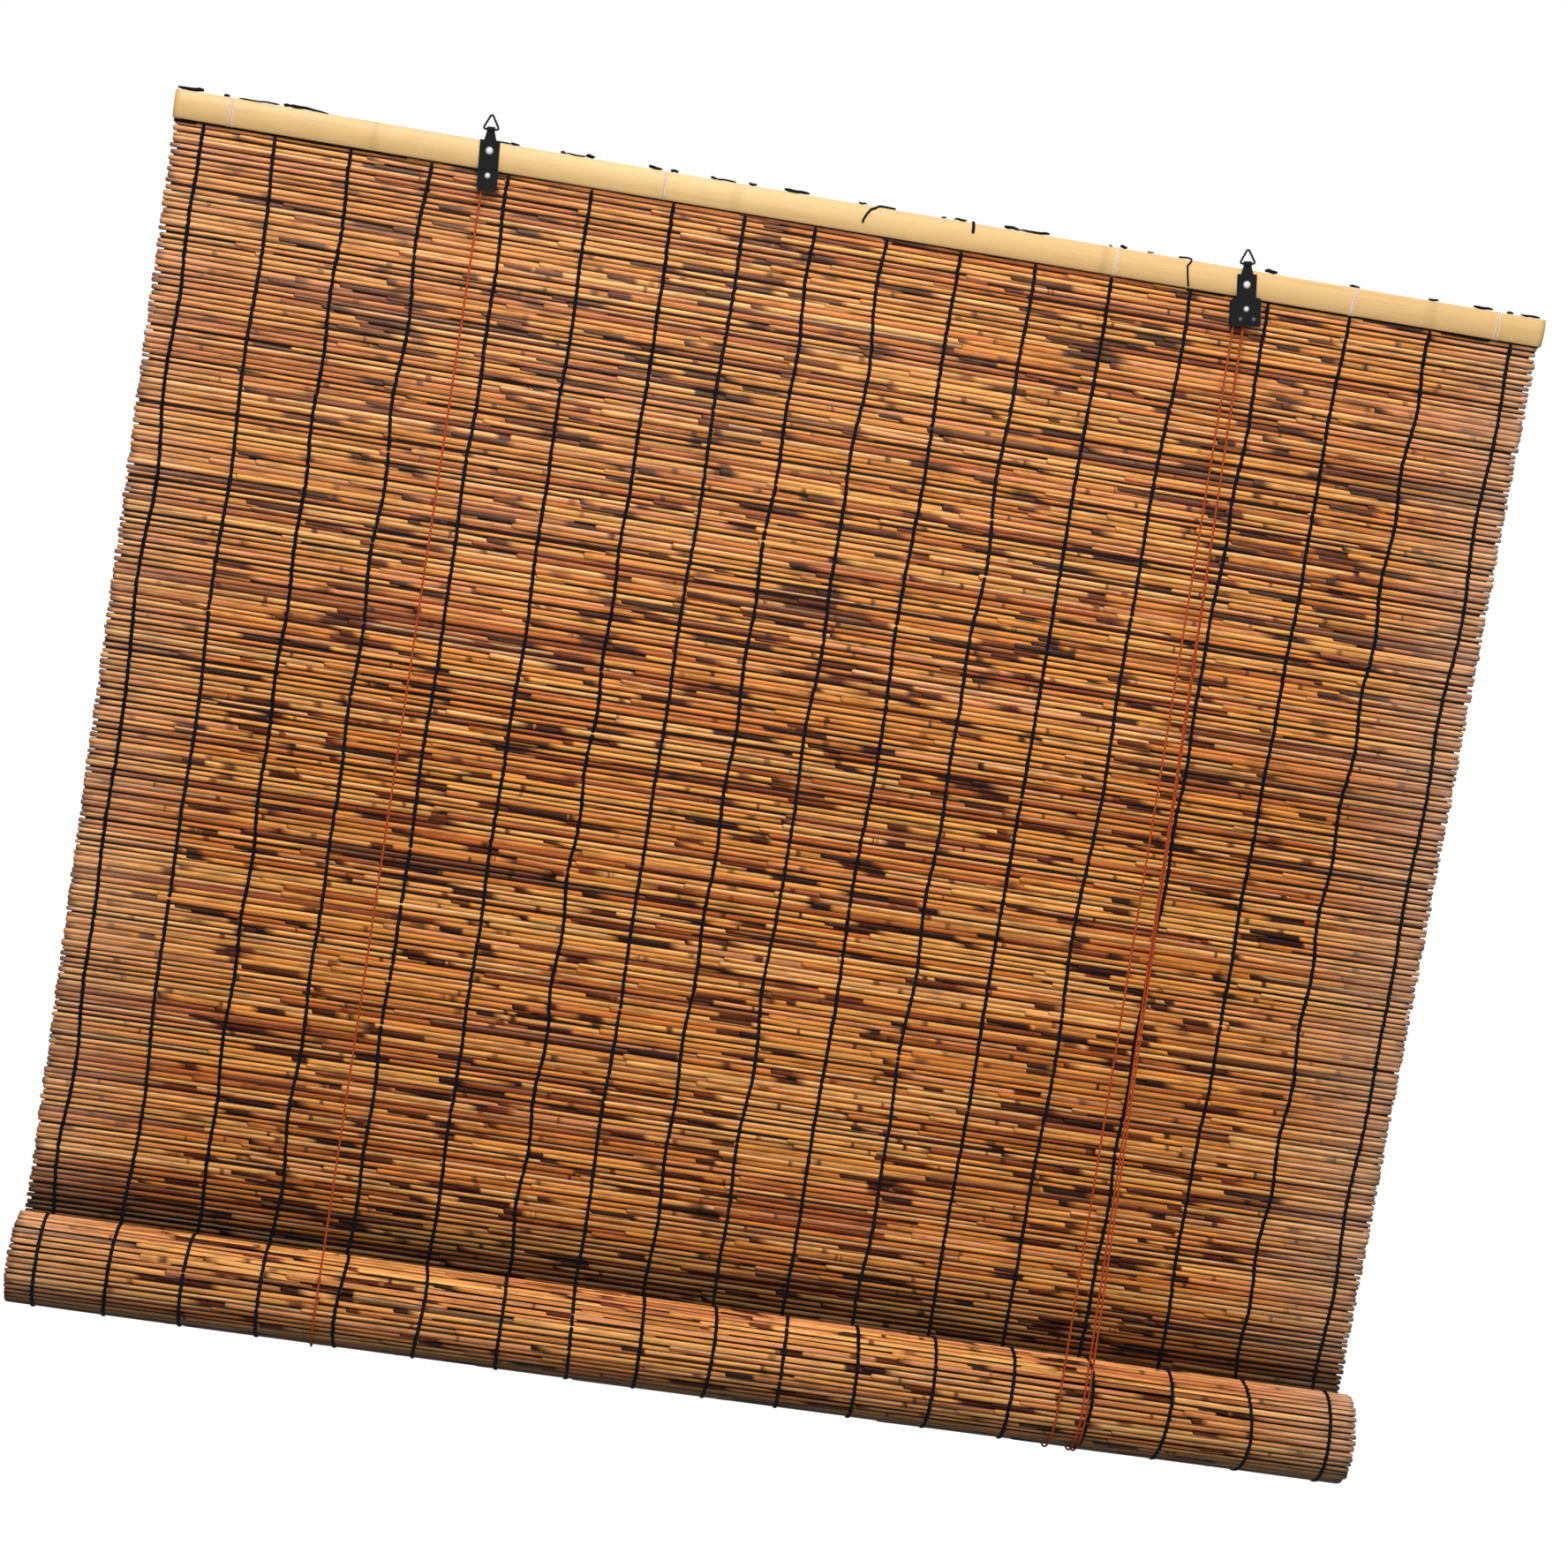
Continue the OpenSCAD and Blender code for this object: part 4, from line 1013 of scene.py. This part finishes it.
def batten(name, side):
    skin = Skin()
    profile = batten_profile()
    if side > 0:
        profile = profile[::-1]
    drift = wander()
    rings, tints = [], []
    for n in range(BATTEN_RINGS + 1):
        x = -MAT_W / 2 + MAT_W * n / BATTEN_RINGS
        joint = max(math.exp(-((x - j) / JOINT_HALF) ** 2) for j in JOINTS)
        swell = 1 + BATTEN_SWELL * drift(x) / WAVES + JOINT_SWELL * joint
        ring = np.empty((len(profile), 3))
        ring[:, 0] = x
        ring[:, 1] = side * (BATTEN_IN + (profile[:, 0] - BATTEN_IN) * swell)
        ring[:, 2] = profile[:, 1]
        share = 0.5 + 0.5 * math.sin(x / 140) * math.cos(x / 310)
        colour = (PALE * (1 - share) + PEACH * share) * (1 - JOINT_DARK * joint)
        # Painted shade: darker towards the batten's foot, lighter at its top
        up = BATTEN_FOOT + (1 - BATTEN_FOOT) * (profile[:, 1:] + BATTEN_H) / BATTEN_H
        rings.append(ring)
        tints.append(colour * up)
    skin.tube(rings, np.asarray(tints))
    return skin.make(name, BAMBOO)


front_batten = batten("front_bamboo", -1)
back_batten = batten("back_bamboo", 1)


# Ties round both battens, three turns of cream thread each

CREAM = srgb(240, 216, 190)
CREAM_SHADE = (0.92, 1.02)
BINDING_TURNS, BINDING_STEP, BINDING_STRAY, BINDING_LEAN = 3, 1.15, 0.15, 0.05
BINDING_R, BINDING_OFF = 0.55, 0.6
CORNER_FROM, CORNER_OVER = 11, 0.3


def head_loop(grow):
    """A closed line round both battens, at a distance from them."""
    half = batten_profile()[:FACE_STEPS + 1]
    line = []
    for side in (-1, 1):
        part = half if side < 0 else half[::-1]
        for depth, z in part:
            from_middle = z + BATTEN_H / 2
            past = max(0, abs(from_middle) - CORNER_FROM) / CORNER_OVER
            line.append((side * (depth + grow), z + math.copysign(grow, from_middle) * past))
    return line


def closed_thread(skin, line, radius, tint):
    line = np.asarray(line)
    heading = np.roll(line, -1, 0) - np.roll(line, 1, 0)
    rings = []
    for point, t in zip(line, heading):
        u = np.array([1.0, 0, 0])
        rings.append(flat_ring(point, u, np.cross(unit(t), u), radius, radius))
    skin.tube(rings, tint, loop=True)


tie_skin = Skin()
for share in TIE_SHARES:
    for turn in range(BINDING_TURNS):
        x = share * MAT_W / 2 + (turn - 1) * BINDING_STEP
        x += rng.uniform(-BINDING_STRAY, BINDING_STRAY)
        slope = rng.uniform(-BINDING_LEAN, BINDING_LEAN)
        line = [(x + slope * z, y, z) for y, z in head_loop(BINDING_OFF)]
        closed_thread(tie_skin, line, BINDING_R, CREAM * rng.uniform(*CREAM_SHADE))
ties = tie_skin.make("tie_threads", TIE)


# Loose ends of the warp threads on the front batten's top edge: from x, to x, half the thickness
# at each end

DASHES = (
    (-599, -577, 1.0, 1.6), (-560, -555, 1.0, 0.9), (-547, -513, 0.6, 0.7), (-509, -504, 1.3, 1.1),
    (-504, -471, 1.5, 0.5), (-331, -314, 0.6, 0.7), (-315, -307, 1.3, 0.5), (-272, -268, 1.1, 0.8),
    (-268, -250, 0.6, 0.7), (-250, -243, 1.5, 1.2), (-196, -184, 1.5, 0.8), (-177, -170, 1.3, 0.9),
    (-142, -137, 1.1, 0.8), (-138, -120, 0.7, 0.7), (-109, -102, 1.1, 0.9), (-78, -56, 1.4, 1.0),
    (-13, -6, 0.9, 0.7), (60, 64, 0.7, 0.6), (71, 82, 0.8, 1.0), (115, 129, 1.5, 0.9),
    (129, 155, 0.7, 1.2), (208, 211, 0.6, 0.5), (218, 224, 1.3, 1.0), (242, 248, 0.6, 0.5),
    (347, 358, 1.5, 1.3), (423, 432, 1.0, 0.9), (494, 503, 0.9, 0.9), (535, 552, 1.2, 1.0),
    (565, 571, 1.0, 0.9), (578, 595, 0.9, 0.9),
)
DASH_Y, DASH_GROW, DASH_END = -4.2, 1.3, 0.6
DASH_STEP, HANG_STEP, UNDER_STEP = 3, 1.5, 12
DASH_LOWEST = -0.15
FACE_GAP = 0.6
TAIL_DEPTH = 0.7
TAIL_FRONT, FACE_FRONT = np.array([0.0, -1.0, 0.0]), np.array([0.0, -1.0, 0.3])


def face_y(z):
    """The front batten's face at a height."""
    return CROWN_R - BATTEN_OUT - math.sqrt(CROWN_R ** 2 - (z + BATTEN_H / 2) ** 2)


tails = Skin()
for x0, x1, half0, half1 in DASHES:
    count = max(5, int((x1 - x0) / DASH_STEP))
    wave = rng.uniform(*WAVE_PHASE)
    route, widths = [], []
    for i in range(count):
        share = i / (count - 1)
        half = DASH_GROW * (half0 + (half1 - half0) * share)
        wobble = 0.45 * math.sin(wave + 7 * share) + 0.25 * math.sin(2 * wave + 15 * share)
        y = DASH_Y + 0.5 * math.sin(wave + 4 * share)
        route.append((x0 + (x1 - x0) * share, y, half + max(DASH_LOWEST, wobble)))
        widths.append(half * (DASH_END if i in (0, count - 1) else 1.0))
    thread(tails, route, [TAIL_FRONT] * count, widths, min(half0, half1), BLACK)

# Ends that hang over the batten's face or run under it: x and height, and half the thickness
OVER_FACE = (
    (((2, -1.0), (-2, -3.0), (-5, -7.5), (-7, -12), (-7.5, -15)), 1.1),
    (((88, -1.2), (88.2, -3.0), (88.3, -6.0), (88.3, -8.5)), 1.5),
    (((281, -1.0), (278, -5.4), (279.5, -14), (282, -22.5)), 0.9),
)
OVER_TOP = (
    ((19.5, -3.6, 0.8), (10, -4.2, 1.2), (5, -5.6, 1.0)),
    ((87.5, -3.4, 1.2), (87.8, -5.0, 1.0)),
    ((270, -4.0, 1.0), (277, -4.4, 1.6), (281, -5.4, 1.2)),
)
for (line, half), top in zip(OVER_FACE, OVER_TOP):
    line = list(top) + [(x, face_y(z) - FACE_GAP, z) for x, z in line]
    points, _ = resample(line, HANG_STEP)
    count = len(points)
    thread(tails, points, [FACE_FRONT] * count, [half] * count, TAIL_DEPTH, BLACK)
# A black thread along the front batten's foot, partly thread and partly painted shade in the gap
# under the batten: from x, to x, half the thickness
UNDER = (
    (-599, -580, 1.5), (-580, -400, 1.0), (-400, 282, 0.5), (282, 316, 1.1), (316, 511, 0.8),
    (511, 555, 1.3), (555, 599, 0.7),
)
for x0, x1, half in UNDER:
    count = max(6, int((x1 - x0) / UNDER_STEP))
    route = []
    for i in range(count):
        x = x0 + (x1 - x0) * i / (count - 1)
        y, z = -3.1 - 0.3 * math.sin(x / 9), -BATTEN_H - 0.1 - half + 0.2 * math.sin(x / 23)
        route.append((x, y, z))
    thread(tails, route, [TAIL_FRONT] * count, [half] * count, TAIL_DEPTH, BLACK)
tail_piece = tails.make("thread_tails", THREAD)


# Materials of the pieces that stay as they are in the solids

FINISH = {
    PAINT: ("left_hanger", "right_hanger", "lock_housing", "left_ring", "right_ring"),
    BRIGHT: ("left_rivet", "right_rivet", "pulley_axle", "lock_rivet", "left_washer",
             "right_washer"),
    STEEL: ("lock_axle", "cam_pin", "lock_cam"),
    WHEEL: ("pulley_wheel", "lock_wheel"),
}
for material, names in FINISH.items():
    for name in names:
        nodes[name].data.materials.clear()
        nodes[name].data.materials.append(material)


def flat_colour_attribute(names, colour, material):
    """Solids that stay as they are, with one colour at each point."""
    for name in names:
        mesh = nodes[name].data
        attribute = mesh.color_attributes.new(TINT, "FLOAT_COLOR", "POINT")
        colours = np.tile([*colour, 1.0], len(mesh.vertices)).astype(np.float32)
        attribute.data.foreach_set("color", colours)
        mesh.materials.clear()
        mesh.materials.append(material)


PLAIN_CORDS = ("left_lift_loop", "right_lift_loop", "right_lift_turn", "cross_cord")
ROD_COLOUR = srgb(206, 160, 100)
flat_colour_attribute(PLAIN_CORDS, RUST, CORD)
flat_colour_attribute(("bottom_rod",), ROD_COLOUR, BAMBOO)


# What each piece rides on and stands for

def shorten(piece, body):
    """Rides a piece on a body, with a mesh of its own; the piece is one that shortens as the roll
    goes up, its upper end staying and its lower end following.
    """
    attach(piece, body)
    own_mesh(piece)


# The mat's lower pieces and the lower threads ride on the head, in place of their hidden solids
for piece, node, slot, low in (
    *((piece, "reed_mat", "reed", MAT_FOOT) for piece in mat_pieces[:-1]),
    (front_warps, "front_warps", "thread", WARP_FOOT),
    (back_warps, "back_warps", "thread", MAT_FOOT),
):
    shorten(piece, "head")
    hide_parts(node)
for name, piece in strand_pieces.items():
    shorten(piece, "head")
    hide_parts(name)
for piece, body, slot, node in (
    (mat_pieces[-1], "head", "reed", "reed_mat"),
    (front_warp_tops, "head", "thread", "front_warps"),
    (back_warp_tops, "head", "thread", "back_warps"),
    (roll_piece, "roll", "reed", "reed_roll"),
    (roll_warps, "roll", "thread", "roll_warps"),
    (front_batten, "head", "batten", "front_batten"),
    (back_batten, "head", "batten", "back_batten"),
    (ties, "head", "tie", "batten_ties"),
    (hank_piece, "lift", "cord", "pull_hank"),
):
    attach(piece, body)
    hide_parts(node)
for pieces, body in ((held_pieces, "lift"), (top_pieces, "head")):
    for name, piece in pieces.items():
        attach(piece, body)
        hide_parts(name)
for piece, body in ((tail_piece, "head"), (hank_tie, "lift")):
    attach(piece, body)


# The pull cord: two strands from the lock, their tails under the roll and the hank behind it, all
# made above; here only the strands' names are formed


for end in ("a", "b"):
    name = "pull_strand_" + end


# Floor, light and world

def seen_directly(tree):
    """1 for what the camera sees itself, mirrored or through glass, and 0 for other light."""
    path = add(tree, "ShaderNodeLightPath")
    seen = path.outputs["Is Camera Ray"]
    for kind in ("Is Glossy Ray", "Is Transmission Ray"):
        both = {0: seen, 1: path.outputs[kind]}
        seen = add(tree, "ShaderNodeMath", both, operation="MAXIMUM").outputs["Value"]
    return seen


FLOOR_Z, FLOOR_HALF = -1.9, 30
FLOOR_NEAR, FLOOR_FAR, GLOW_NEAR, GLOW_FAR = 2.0, 7.0, 0.8, 0.93
WORLD_LIGHT = 0.24
SQUARE = ((-1, -1), (1, -1), (1, 1), (-1, 1))
corners = [(x * FLOOR_HALF, y * FLOOR_HALF, FLOOR_Z) for x, y in SQUARE]
floor_mesh = bpy.data.meshes.new("floor")
floor_mesh.from_pydata(corners, [], [(0, 1, 2, 3)])
floor = bpy.data.objects.new("floor", floor_mesh)
bpy.context.scene.collection.objects.link(floor)
floor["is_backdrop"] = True
floor_material, tree, shader = new_material("floor")
shader.inputs["Base Color"].default_value = (0.4, 0.4, 0.4, 1)
shader.inputs["Roughness"].default_value = 0.9
place = add(tree, "ShaderNodeTexCoord").outputs["Object"]
away = add(tree, "ShaderNodeVectorMath", {0: place}, operation="LENGTH").outputs["Value"]
bright = ramp(tree, away, FLOOR_NEAR, FLOOR_FAR, GLOW_NEAR, GLOW_FAR)
glow = add(tree, "ShaderNodeEmission", {"Color": (1, 1, 1, 1), "Strength": bright})
none = add(tree, "ShaderNodeEmission", {"Color": (0, 0, 0, 1), "Strength": 0.0})
choice = {0: seen_directly(tree), 1: none.outputs[0], 2: glow.outputs[0]}
lit = add(tree, "ShaderNodeMixShader", choice)
total = add(tree, "ShaderNodeAddShader", {0: shader.outputs[0], 1: lit.outputs[0]})
tree.links.new(total.outputs[0], tree.nodes["Material Output"].inputs["Surface"])
floor_mesh.materials.append(floor_material)

world = bpy.data.worlds.new("world")
bpy.context.scene.world = world
world.use_nodes = True
tree = world.node_tree
strength = ramp(tree, seen_directly(tree), 0, 1, WORLD_LIGHT, 1.0)
background = tree.nodes["Background"]
background.inputs["Color"].default_value = (1, 1, 1, 1)
tree.links.new(strength, background.inputs["Strength"])


def area_light(name, at, aim, size, watts):
    light = bpy.data.objects.new(name, bpy.data.lights.new(name, "AREA"))
    light.data.size = size
    light.data.energy = watts
    light.location = at
    direction = np.array(aim) - np.array(at)
    light.rotation_euler = Vector(direction).to_track_quat("-Z", "Y").to_euler()
    bpy.context.scene.collection.objects.link(light)


area_light("key", at=(-0.6, -2.2, 2.1), aim=(-0.15, 0, -0.4), size=1.8, watts=94)
area_light("low", at=(0.1, -1.1, 0.15), aim=(0, -0.05, -1.05), size=0.8, watts=5)
area_light("fill", at=(0.6, -3.0, -0.2), aim=(0, 0, -0.5), size=1.8, watts=5)
area_light("back", at=(0.5, 2.4, 1.0), aim=(0, 0, -0.5), size=1.8, watts=45)

low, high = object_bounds()
